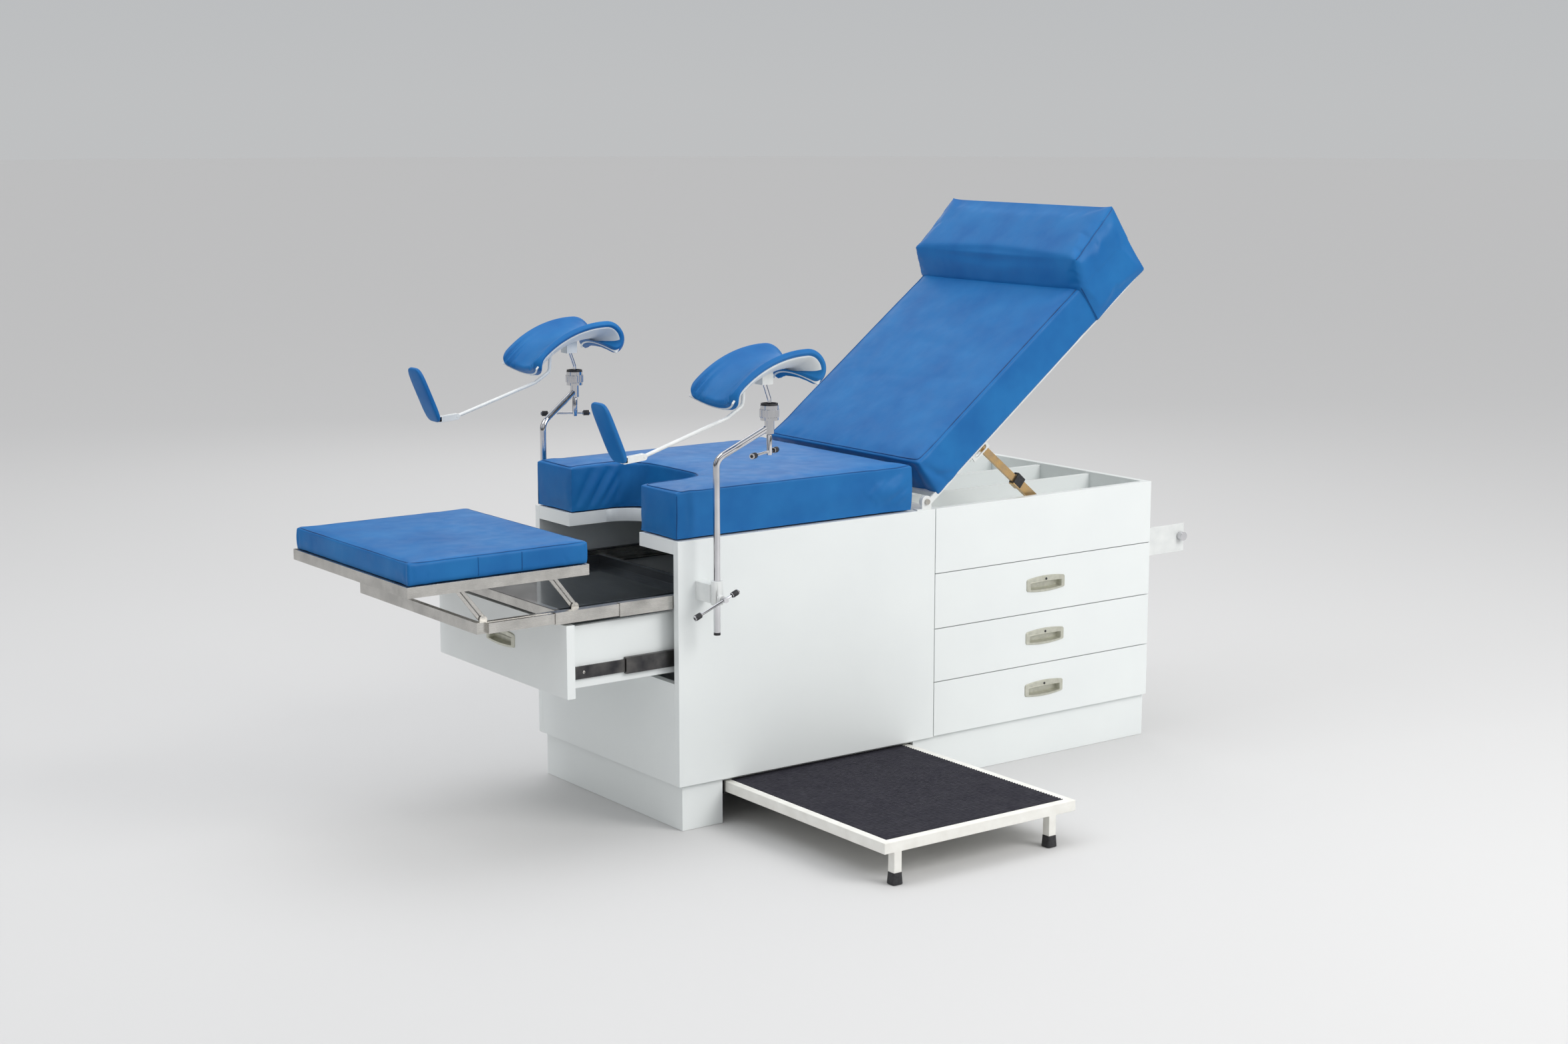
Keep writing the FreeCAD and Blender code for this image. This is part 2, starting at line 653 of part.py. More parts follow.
def drip_tray():
    """Shallow dark tray hung between the cross bar and the rear bar of the slide frame."""
    bar_x = FOOT - FOOT_REACH + CROSS_BAR_AT
    rear = FOOT - FOOT_REACH + FOOT_FRAME_LENGTH
    rim = FOOT_FRAME_Z + FOOT_FRAME_H - 2 + DRIP_TRAY_SHEET
    side = FOOT_EDGE - FOOT_FRAME_W - 15
    left = bar_x + FOOT_FRAME_W
    right = rear - FOOT_FRAME_W
    low = FOOT_FRAME_Z + 2
    pan = box(left, right, -side, side, low, rim)
    hollow = box(left + DRIP_TRAY_SHEET, right - DRIP_TRAY_SHEET, -side + DRIP_TRAY_SHEET, side - DRIP_TRAY_SHEET,
                 low + DRIP_TRAY_SHEET, rim)
    flange_low = rim - DRIP_TRAY_SHEET
    flanges = [box(bar_x, left, -side, side, flange_low, rim), box(right, rear, -side, side, flange_low, rim)]
    return fuse([pan.cut(hollow)] + flanges)


# ---------------------------------------------------------------- drawers
def lens(x0, x1, y0, y1, z0, z1):
    """A block with half-round ends, long in X and facing along Y."""
    radius = (z1 - z0) / 2
    middle = (z0 + z1) / 2
    return link((x0 + radius, middle), (x1 - radius, middle), radius, y0, y1)


def pull(face_y):
    """Recessed cup pull on a front that faces -Y, centred on x = 0, z = 0."""
    half_l = PULL_LENGTH / 2
    half_h = PULL_HEIGHT / 2
    rim = lens(-half_l, half_l, face_y - PULL_PROUD, face_y, -half_h, half_h)
    cup_l = half_l - PULL_RIM
    cup_h = half_h - PULL_RIM + 3
    cup = lens(-cup_l, cup_l, face_y, face_y + PULL_DEPTH, -cup_h, cup_h)
    inner_l = cup_l - PULL_WALL
    inner_h = cup_h - PULL_WALL
    hollow = lens(-inner_l, inner_l, face_y - PULL_PROUD, face_y + PULL_DEPTH - PULL_WALL, -inner_h, inner_h)
    return fuse([rim, cup]).cut(hollow)


def pull_cutout(face_y):
    """The hole that the pull's cup drops into, right through the front."""
    cup_l = PULL_LENGTH / 2 - PULL_RIM + 0.5
    cup_h = PULL_HEIGHT / 2 - PULL_RIM + 3.5
    return lens(-cup_l, cup_l, face_y, face_y + PANEL, -cup_h, cup_h)


def open_box(x0, x1, y0, y1, z0, z1):
    outer = box(x0, x1, y0, y1, z0, z1)
    inner = box(x0 + DRAWER_WALL, x1 - DRAWER_WALL, y0 + DRAWER_WALL, y1 - DRAWER_WALL, z0 + DRAWER_FLOOR, z1)
    return outer.cut(inner)


def drawer_span():
    """Left and right faces of the side drawers' boxes."""
    return SEAM + PANEL + SLIDE_DEPTH, HEAD - PANEL - SLIDE_DEPTH


def side_drawer_front(top, bottom):
    """Front board with its cup pull as a second solid."""
    board = box(SEAM + FRONT_GAP, HEAD, NEAR, INNER_NEAR, bottom + FRONT_GAP, top)
    centre = Vec((SEAM + HEAD) / 2, 0, (top + bottom) / 2 + 4)
    hole = pull_cutout(NEAR)
    hole.translate(centre)
    handle = pull(NEAR)
    handle.translate(centre)
    return Part.Compound([board.cut(hole), handle])


def side_drawer_box(top, bottom):
    """Box with the runners of its slides."""
    left, right = drawer_span()
    low = bottom + PANEL + DRAWER_BOX_LIFT
    back = INNER_NEAR + DRAWER_BOX_DEPTH
    body = open_box(left, right, INNER_NEAR, back, low, top - DRAWER_BOX_DROP)
    middle = (top + bottom) / 2
    half = SLIDE_INNER / 2
    reach = SLIDE_DEPTH - SLIDE_SHEET - 2 * RAIL_CLEAR
    runners = [
        box(left - reach, left, INNER_NEAR + 4, back, middle - half, middle + half),
        box(right, right + reach, INNER_NEAR + 4, back, middle - half, middle + half),
    ]
    return fuse([body] + runners)


def side_drawer_rails(top, bottom):
    """Fixed rails of one side drawer, on the divider and on the head panel."""
    middle = (top + bottom) / 2
    half = SLIDE_INNER / 2 + RAIL_CLEAR + SLIDE_LIP
    inner = SLIDE_INNER / 2 + RAIL_CLEAR
    left, right = drawer_span()
    y0 = INNER_NEAR + 4
    y1 = INNER_NEAR + DRAWER_BOX_DEPTH
    rails = []
    for wall, edge in ((SEAM + PANEL, left - RAIL_CLEAR), (right + RAIL_CLEAR, HEAD - PANEL)):
        rails.append(box(wall, edge, y0, y1, middle - half, middle + half))
    reach = SLIDE_DEPTH - SLIDE_SHEET
    grooves = [
        box(left - reach, left - RAIL_CLEAR, y0, y1, middle - inner, middle + inner),
        box(right + RAIL_CLEAR, right + reach, y0, y1, middle - inner, middle + inner),
    ]
    return [rails[0].cut(grooves[0]), rails[1].cut(grooves[1])]


def foot_drawer_front():
    x0 = FOOT - FOOT_DRAWER_OPEN
    edge = FAR - PANEL - 2.5
    low = FOOT_PANEL_TOP + 4
    board = box(x0, x0 + FOOT_DRAWER_FRONT, -edge, edge, low, FOOT_DRAWER_TOP)
    hole = pull_cutout(0)
    handle = pull(0)
    for piece in (hole, handle):
        piece.rotate(Vec(0, 0, 0), Vec(0, 0, 1), -90)
        piece.translate(Vec(x0, 0, (low + FOOT_DRAWER_TOP) / 2 + 8))
    board = board.cut(hole)
    rest_of_hole = hole.copy()
    rest_of_hole.translate(Vec(FOOT_DRAWER_FRONT - PANEL, 0, 0))
    return Part.Compound([board.cut(rest_of_hole), handle])


def foot_drawer_box():
    x0 = FOOT - FOOT_DRAWER_OPEN + FOOT_DRAWER_FRONT
    side = FAR - FOOT_DRAWER_SIDE
    low = FOOT_PANEL_TOP + DRAWER_FLOOR + DRAWER_BOX_DROP
    body = open_box(x0, x0 + FOOT_DRAWER_BOX, -side, side, low, FOOT_DRAWER_TOP - 8)
    half = SLIDE_INNER / 2
    inner_start = x0 + 2
    runner = box(inner_start, inner_start + SLIDE_LENGTH, -side - 6, -side, SLIDE_Z - half, SLIDE_Z + half)
    return fuse([body, runner, far_copy(runner)])


def slide_member(x0, back, edge, height):
    """C-shaped slide member with thick ball-race lips, open towards the drawer."""
    half = height / 2
    outer = box(x0, x0 + SLIDE_LENGTH, back, edge, SLIDE_Z - half, SLIDE_Z + half)
    inner = box(x0, x0 + SLIDE_LENGTH, back + SLIDE_SHEET, edge, SLIDE_Z - half + SLIDE_LIP,
                SLIDE_Z + half - SLIDE_LIP)
    return outer.cut(inner)


def foot_drawer_mid_rails():
    shift = FOOT_DRAWER_OPEN / 2
    back = NEAR + FOOT_DRAWER_SIDE - SLIDE_DEPTH + SLIDE_SHEET + RAIL_CLEAR
    edge = NEAR + FOOT_DRAWER_SIDE - RAIL_CLEAR
    return both_sides(slide_member(FOOT + FOOT_DRAWER_FRONT + 2 - shift, back, edge, SLIDE_MID))


def fixed_slide_rails():
    """Every rail that is screwed to the cabinet: foot section, foot drawer, side drawers and step."""
    back = NEAR + FOOT_DRAWER_SIDE - SLIDE_DEPTH
    edge = NEAR + FOOT_DRAWER_SIDE - RAIL_CLEAR
    x0 = FOOT + FOOT_DRAWER_FRONT + 2
    half = SLIDE_OUTER / 2
    spacer = box(x0, x0 + SLIDE_LENGTH, INNER_NEAR, back, SLIDE_Z - half, SLIDE_Z + half)
    outer = fuse([slide_member(x0, back, edge, SLIDE_OUTER), spacer])
    pieces = [foot_rail_pair(0, 0), both_sides(outer)]
    for top, bottom in zip(DRAWER_LINES, DRAWER_LINES[1:]):
        pieces += side_drawer_rails(top, bottom)
    pieces += step_guides()
    return Part.Compound(pieces)


# ---------------------------------------------------------------- pull-out step
def step_guides():
    """L-shaped guides under the plinth's top board that the step's side rails run in."""
    ceiling = PLINTH_HEIGHT - PLINTH_TOP_BOARD
    rail_top = STEP_TOP - 1
    rail_low = rail_top - STEP_RAIL_H
    y0 = NEAR + PLINTH_INSET_SIDE
    y1 = -y0 - PANEL - 2
    lip_top = rail_low - GUIDE_CLEAR
    low = lip_top - GUIDE
    left = FOOT + STEP_LEFT
    right = FOOT + STEP_RIGHT
    reach = GUIDE_CLEAR + GUIDE
    profile_left = [
        box(left - reach, left - GUIDE_CLEAR, y0, y1, low, ceiling),
        box(left - reach, left + STEP_RAIL_W / 2, y0, y1, low, lip_top),
    ]
    profile_right = [
        box(right + GUIDE_CLEAR, right + reach, y0, y1, low, ceiling),
        box(right - STEP_RAIL_W / 2, right + reach, y0, y1, low, lip_top),
    ]
    return [fuse(profile_left), fuse(profile_right)]


def step_frame():
    top = STEP_TOP - 1
    low = top - STEP_RAIL_H
    left = FOOT + STEP_LEFT
    right = FOOT + STEP_RIGHT
    front = NEAR - STEP_REACH
    back = NEAR + STEP_INNER
    rim = box(left, right, front, back, low, top)
    window = box(left + STEP_RAIL_W, right - STEP_RAIL_W, front + STEP_RAIL_W, back - STEP_RAIL_W, low, top)
    sheet_top = STEP_TOP - MAT
    tread = box(left + STEP_RAIL_W, right - STEP_RAIL_W, front + STEP_RAIL_W, back - STEP_RAIL_W,
                sheet_top - STEP_SHEET, sheet_top)
    legs = []
    for x in step_leg_places():
        legs.append(box(x, x + STEP_RAIL_W, front, front + STEP_RAIL_W, STEP_FOOT_H - 6, low))
    return fuse([rim.cut(window), tread] + legs)


def step_leg_places():
    left = FOOT + STEP_LEFT + STEP_LEG_INSET
    right = FOOT + STEP_RIGHT - STEP_LEG_INSET - STEP_RAIL_W
    return left, right - 32


def step_mat():
    inset = STEP_RAIL_W
    return box(FOOT + STEP_LEFT + inset, FOOT + STEP_RIGHT - inset, NEAR - STEP_REACH + inset,
               NEAR + STEP_INNER - inset, STEP_TOP - MAT, STEP_TOP)


def step_feet():
    """Rubber ferrules on the step's legs."""
    feet = []
    proud = (STEP_FOOT_W - STEP_RAIL_W) / 2
    front = NEAR - STEP_REACH
    for x in step_leg_places():
        foot = box(x - proud, x + STEP_RAIL_W + proud, front - proud, front + STEP_RAIL_W + proud, 0, STEP_FOOT_H)
        leg = box(x, x + STEP_RAIL_W, front, front + STEP_RAIL_W, STEP_FOOT_H - 6, STEP_FOOT_H)
        feet.append(foot.cut(leg))
    return Part.Compound(feet)


# ---------------------------------------------------------------- paper rail
def paper_bracket():
    y0 = NEAR + PAPER_PLATE + 1
    y1 = y0 + PAPER_PLATE
    plate = box(HEAD, HEAD + PAPER_REACH, y0, y1, PAPER_LOW, PAPER_HIGH)
    flange = box(HEAD, HEAD + PAPER_PLATE, y0, y1 + 30, PAPER_LOW, PAPER_HIGH)
    rod_x = HEAD + PAPER_ROD_OUT
    hole = cyl(Vec(rod_x, y0, PAPER_ROD_Z), Vec(rod_x, y1, PAPER_ROD_Z), PAPER_ROD_R + RUNNING_FIT)
    return fuse([plate, flange]).cut(hole)


def paper_rod():
    rod_x = HEAD + PAPER_ROD_OUT
    end = FAR - PAPER_PLATE
    rod = cyl(Vec(rod_x, -end, PAPER_ROD_Z), Vec(rod_x, end, PAPER_ROD_Z), PAPER_ROD_R)
    knob = cyl(Vec(rod_x, -end - PAPER_KNOB, PAPER_ROD_Z), Vec(rod_x, -end, PAPER_ROD_Z), PAPER_KNOB_R)
    return fuse([rod, knob, far_copy(knob)])


# ---------------------------------------------------------------- leg holders (near one; the far one is its mirror)
def post_axis():
    return FOOT + POST_FROM_FOOT, NEAR - POST_OUT


def socket_axis():
    x, y = post_axis()
    return x + ARM_FORWARD, y - ARM_OUT


def socket_low():
    return POST_BEND_Z + ARM_RISE - SOCKET_H / 2


def leg_clamps():
    """Blocks on the side panels whose bored sleeves hold the posts."""
    x, y = post_axis()
    arm = box(x - CLAMP_W / 2, x + CLAMP_W / 2, y + 6, NEAR, CLAMP_LOW + 4, CLAMP_HIGH - 8)
    sleeve = cyl(Vec(x, y, CLAMP_LOW), Vec(x, y, CLAMP_HIGH), CLAMP_R)
    boss = cyl(Vec(x, y, CLAMP_SCREW_Z), Vec(x, y - CLAMP_R - 8, CLAMP_SCREW_Z), 2 * SCREW_R)
    bore = cyl(Vec(x, y, CLAMP_LOW), Vec(x, y, CLAMP_HIGH), POST_R + RUNNING_FIT)
    tapped = cyl(Vec(x, y, CLAMP_SCREW_Z), Vec(x, y - CLAMP_R - 8, CLAMP_SCREW_Z), SCREW_R + RUNNING_FIT)
    return both_sides(fuse([arm, sleeve, boss]).cut(bore).cut(tapped))


def tbar(centre, direction, long_end, short_end):
    """Tommy bar through a screw head, with a rubber cap on each end."""
    aim = direction.normalize()
    far = centre + aim * long_end
    close = centre - aim * short_end
    bar = cyl(close, far, TBAR_R)
    caps = [cyl(far - aim * TBAR_CAP, far, TBAR_CAP_R), cyl(close, close + aim * TBAR_CAP, TBAR_CAP_R)]
    return bar, [cap.cut(bar) for cap in caps]


def clamp_screw():
    """Screw that locks the post in its sleeve, and the bar that turns it."""
    x, y = post_axis()
    z = CLAMP_SCREW_Z
    boss_end = y - CLAMP_R - 8
    shank = cyl(Vec(x, y - POST_R - 0.5, z), Vec(x, boss_end - 4, z), SCREW_R)
    head = cyl(Vec(x, boss_end - 1, z), Vec(x, boss_end - 15, z), SCREW_HEAD_R)
    lean = math.radians(22)
    bar, caps = tbar(Vec(x, boss_end - 8, z), Vec(-math.cos(lean), 0, -math.sin(lean)), 84, 38)
    return Part.Compound([fuse([shank, head, bar])] + caps)


def post():
    """Bent post with the socket welded to its arm and the ball nut screwed on the socket."""
    x, y = post_axis()
    sx, sy = socket_axis()
    arm_z = POST_BEND_Z + ARM_RISE
    rod = bent_rod([Vec(x, y, POST_BOTTOM + 6), Vec(x, y, POST_BEND_Z), Vec(sx, sy, arm_z)], POST_BEND_R, POST_R)
    low = socket_low()
    top = low + SOCKET_H
    socket = cyl(Vec(sx, sy, low), Vec(sx, sy, top), SOCKET_R)
    tapped = cyl(Vec(sx, sy, low), Vec(sx, sy, low + 16), SCREW_R + RUNNING_FIT)
    nut = cyl(Vec(sx, sy, top), Vec(sx, sy, top + NUT_H), NUT_R)
    ball_z = top + BALL_R + 3
    seat = Part.makeSphere(BALL_R + BALL_GAP, Vec(sx, sy, ball_z))
    mouth = Part.makeCone(7.0, 15.0, top + NUT_H - ball_z, Vec(sx, sy, ball_z), Vec(0, 0, 1))
    return Part.Compound([fuse([rod, socket]).cut(tapped), nut.cut(seat).cut(mouth)])


def ball_centre():
    sx, sy = socket_axis()
    return Vec(sx, sy, socket_low() + SOCKET_H + BALL_R + 3)


def post_plug():
    """Round plug in the post's lower end."""
    x, y = post_axis()
    return cyl(Vec(x, y, POST_BOTTOM), Vec(x, y, POST_BOTTOM + 6), POST_R)


def lock_screw():
    """Screw under the socket that locks the ball, with its bar."""
    sx, sy = socket_axis()
    low = socket_low()
    shank = cyl(Vec(sx, sy, low - 6), Vec(sx, sy, low + 14), SCREW_R)
    head = cyl(Vec(sx, sy, low - 46), Vec(sx, sy, low - 3), SCREW_HEAD_R)
    swing = math.radians(27)
    bar, caps = tbar(Vec(sx, sy, low - 39), Vec(-math.cos(swing), -math.sin(swing), 0), 82, 36)
    return Part.Compound([fuse([shank, head, bar])] + caps)


def swivel_ring():
    """Dark ring on top of the ball nut that turns with the cup."""
    sx, sy = socket_axis()
    low = socket_low() + SOCKET_H + NUT_H + BALL_GAP
    ring = cyl(Vec(sx, sy, low), Vec(sx, sy, low + RING_H), NUT_R - 1)
    hole = cyl(Vec(sx, sy, low), Vec(sx, sy, low + RING_H), 15.5)
    return ring.cut(hole)


def cup_stem():
    """Ball with the bent stem that carries the cup."""
    centre = ball_centre()
    ball = Part.makeSphere(BALL_R, centre)
    knee = centre + Vec(0, 0, 30)
    tip = centre + Vec(-14, 0, 68)
    stem = bent_rod([centre, knee, tip], 25.0, STEM_R)
    return fuse([ball, stem])


def trough(inner_r, outer_r, half_width):
    """Band between two trough radii, bent over a long arc and then a tight curl at the head end."""
    x, y = socket_axis()
    x = FOOT + POST_FROM_FOOT + CUP_TOP_FROM_POST
    middle_r = (inner_r + outer_r) / 2
    spread = math.asin(half_width / middle_r)
    centre = Vec(x, y, CUP_TOP_Z + CUP_TROUGH_R)

    def on_arc(radius, angle):
        return centre + Vec(0, radius * math.sin(angle), -radius * math.cos(angle))

    outer = Part.Arc(on_arc(outer_r, -spread), on_arc(outer_r, 0), on_arc(outer_r, spread)).toShape()
    inner = Part.Arc(on_arc(inner_r, spread), on_arc(inner_r, 0), on_arc(inner_r, -spread)).toShape()
    right = Part.LineSegment(on_arc(outer_r, spread), on_arc(inner_r, spread)).toShape()
    left = Part.LineSegment(on_arc(inner_r, -spread), on_arc(outer_r, -spread)).toShape()
    face = Part.Face(Part.Wire([outer, right, inner, left]))
    long_part = face.revolve(Vec(x, y, CUP_TOP_Z - CUP_ARC_R), Vec(0, 1, 0), -CUP_ARC)
    curl = face.revolve(Vec(x, y, CUP_TOP_Z - CUP_CURL_R), Vec(0, 1, 0), CUP_CURL)
    return long_part.fuse(curl)


def cup_pad():
    return trough(CUP_TROUGH_R, CUP_TROUGH_R + CUP_PAD, CUP_HALF_WIDTH)


def cup_shell():
    """White shell under the pad, with the block that the stem is screwed into."""
    outer = CUP_TROUGH_R + CUP_PAD + CUP_SHELL
    shell = trough(CUP_TROUGH_R + CUP_PAD, outer, CUP_HALF_WIDTH)
    tip = ball_centre() + Vec(-14, 0, 64)
    block = box(tip.x - 14, tip.x + 14, tip.y - 14, tip.y + 14, tip.z, CUP_TOP_Z)
    skin = trough(CUP_TROUGH_R - 60, CUP_TROUGH_R + CUP_PAD, CUP_HALF_WIDTH)
    stem = cup_stem()
    return fuse([shell, block.cut(skin)]).cut(stem)


def foot_rod_top(x):
    """Height at which the rod's upper end is welded into the shell, half way through its wall."""
    wall_middle = CUP_ARC_R - CUP_PAD - CUP_SHELL / 2
    ahead = FOOT + POST_FROM_FOOT + CUP_TOP_FROM_POST - x
    return CUP_TOP_Z - CUP_ARC_R + math.sqrt(wall_middle ** 2 - ahead ** 2)


def foot_rod_points():
    x = FOOT + FOOT_ROD_FROM_FOOT
    y = socket_axis()[1]
    bend_z = CUP_TOP_Z - FOOT_ROD_BEND_DROP
    hinge = Vec(FOOT + PAD_HINGE_FROM_FOOT, y, PAD_HINGE_Z)
    return [Vec(x + 4, y, foot_rod_top(x + 4)), Vec(x, y, bend_z), Vec(x - 40, y, bend_z - 24), hinge]


def foot_rod():
    """Thin bent rod from under the cup to the foot plate's hinge."""
    points = foot_rod_points()
    rod = bent_rod(points, 16.0, FOOT_ROD_R)
    end = points[-1]
    eye = cyl(end - Vec(0, 3, 0), end + Vec(0, 3, 0), 7.0)
    hole = cyl(end - Vec(0, 3, 0), end + Vec(0, 3, 0), 2.5 + RUNNING_FIT)
    trimmed = rod.cut(cyl(end - Vec(0, 5, 0), end + Vec(0, 5, 0), 7.0)).cut(cup_shell()).cut(cup_pad())
    return fuse([trimmed, eye]).cut(hole)


def foot_pad():
    """Foot plate pad and the forked clip that hinges it to the rod."""
    hinge = foot_rod_points()[-1]
    heel = hinge + Vec(-48, 0, -4)
    y = hinge.y
    cheeks = []
    for side in (-1, 1):
        y0 = min(y + side * 3.3, y + side * 6.3)
        cheeks.append(link((hinge.x, hinge.z), (heel.x, heel.z), 7.0, y0, y0 + 3))
    pin = cyl(Vec(hinge.x, y - 7, hinge.z), Vec(hinge.x, y + 7, hinge.z), 2.5)
    bridge = box(heel.x - 6, heel.x + 7, y - 6.3, y + 6.3, heel.z - 5, heel.z + 7)
    pad = rounded_slab(-PAD_THICK, 0, -PAD_WIDTH / 2, PAD_WIDTH / 2, 0, PAD_LENGTH, 5.0)
    pad.rotate(Vec(0, 0, 0), Vec(0, 1, 0), -PAD_LEAN)
    pad.translate(Vec(heel.x, y, heel.z))
    clip = fuse(cheeks + [pin, bridge])
    return Part.Compound([pad.cut(clip), clip])


HOLDER_PIECES = {
    "post_plug": post_plug,
    "post": post,
    "clamp_screw": clamp_screw,
    "lock_screw": lock_screw,
    "swivel_ring": swivel_ring,
    "cup_stem": cup_stem,
    "cup_shell": cup_shell,
    "cup_pad": cup_pad,
    "foot_rod": foot_rod,
    "foot_pad": foot_pad,
}


# ---------------------------------------------------------------- build every sub-part
def build():
    os.makedirs("parts", exist_ok=True)
    single = (plinth, near_panels, far_panel, foot_panel, head_panel, carcass, instrument_tray, seat_board,
              seat_cushion, back_board, back_lugs, back_cushion, pillow, cabinet_brackets, pivot_bolts,
              stay_channels, stay_rods, foot_slide_frame, foot_top_frame, foot_cushion, drip_tray,
              foot_drawer_front, foot_drawer_box, foot_drawer_mid_rails, fixed_slide_rails, step_frame, step_mat,
              step_feet, paper_rod, leg_clamps)
    for make in single:
        save(make.__name__, make())
    travel = FOOT_REACH / FOOT_STAGES
    save("foot_outer_rails", foot_rail_pair(1, travel))
    save("foot_inner_rails", foot_rail_pair(2, 2 * travel))
    for name, foot_x in zip(("front_levers", "rear_levers"), lever_feet()):
        save(name, lever_pair(foot_x))
    names = ("top", "middle", "bottom")
    for name, top, bottom in zip(names, DRAWER_LINES, DRAWER_LINES[1:]):
        save(name + "_drawer_front", side_drawer_front(top, bottom))
        save(name + "_drawer_box", side_drawer_box(top, bottom))
    for name, make in HOLDER_PIECES.items():
        shape = make()
        save("near_" + name, shape)
        save("far_" + name, far_copy(shape))


build()
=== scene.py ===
import json
import math

import bpy
import numpy as np
from mathutils import Matrix, Vector


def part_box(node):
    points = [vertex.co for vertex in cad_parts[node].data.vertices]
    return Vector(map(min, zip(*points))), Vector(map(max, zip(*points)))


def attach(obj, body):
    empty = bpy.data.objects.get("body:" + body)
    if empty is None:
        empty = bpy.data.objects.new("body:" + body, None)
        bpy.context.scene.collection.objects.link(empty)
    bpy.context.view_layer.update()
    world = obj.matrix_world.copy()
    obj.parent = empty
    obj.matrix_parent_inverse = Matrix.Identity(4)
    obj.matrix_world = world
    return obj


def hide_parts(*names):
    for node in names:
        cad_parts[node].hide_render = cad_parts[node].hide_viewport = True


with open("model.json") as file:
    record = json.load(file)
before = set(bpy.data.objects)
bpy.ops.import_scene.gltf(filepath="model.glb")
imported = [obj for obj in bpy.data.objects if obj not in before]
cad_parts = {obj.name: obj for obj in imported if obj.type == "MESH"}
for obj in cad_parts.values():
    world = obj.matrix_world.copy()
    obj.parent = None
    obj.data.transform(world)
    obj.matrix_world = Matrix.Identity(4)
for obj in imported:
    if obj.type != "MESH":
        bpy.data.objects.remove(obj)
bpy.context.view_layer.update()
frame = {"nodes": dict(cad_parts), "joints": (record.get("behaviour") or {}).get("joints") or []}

# Looks of a medical exam table with leg holders.  Metres, in the frame's own axes: +X to the head end, +Y to
# the far side, +Z up.  Each section dresses one piece, in the order in which the table is put together.
scene = bpy.context.scene

# ---------------------------------------------------------------- the room
# A pale studio floor and a soft lamp high on the near side, so the near faces are bright and the foot end is
# in half shade.  The camera stands off the near foot corner at eye height.
EYE = Vector((-3.549, -4.555, 1.5925))
EYE_TURN = math.radians(36.28)
EYE_DIP = math.radians(9.97)
LENS_MM = 55.56
FILM_MM = 36.0
FLOOR_RADIUS = 60.0
FLOOR_GREY = (0.64, 0.64, 0.64)
SKY_STRENGTH = 0.89
SCREENS = 7
PAPER_WHITE = (0.420, 0.445, 0.470)
HORIZON_GREY = (0.520, 0.528, 0.535)


def add_node(tree, kind, sockets=None, **settings):
    """A shader node with its settings; a socket is given a value, or another node's output to follow."""
    made = tree.nodes.new(kind)
    for name, value in settings.items():
        setattr(made, name, value)
    for name, value in (sockets or {}).items():
        if isinstance(value, bpy.types.NodeSocket):
            tree.links.new(value, made.inputs[name])
        else:
            made.inputs[name].default_value = value
    return made


def add_object(name, data):
    made = bpy.data.objects.new(name, data)
    scene.collection.objects.link(made)
    return made


def hang_lamp(name, place, aim, size, watts, colour):
    lamp = bpy.data.lights.new(name, "AREA")
    lamp.size = size
    lamp.energy = watts
    lamp.color = colour
    made = add_object(name, lamp)
    made.location = place
    made.rotation_euler = (Vector(aim) - Vector(place)).to_track_quat("-Z", "Y").to_euler()


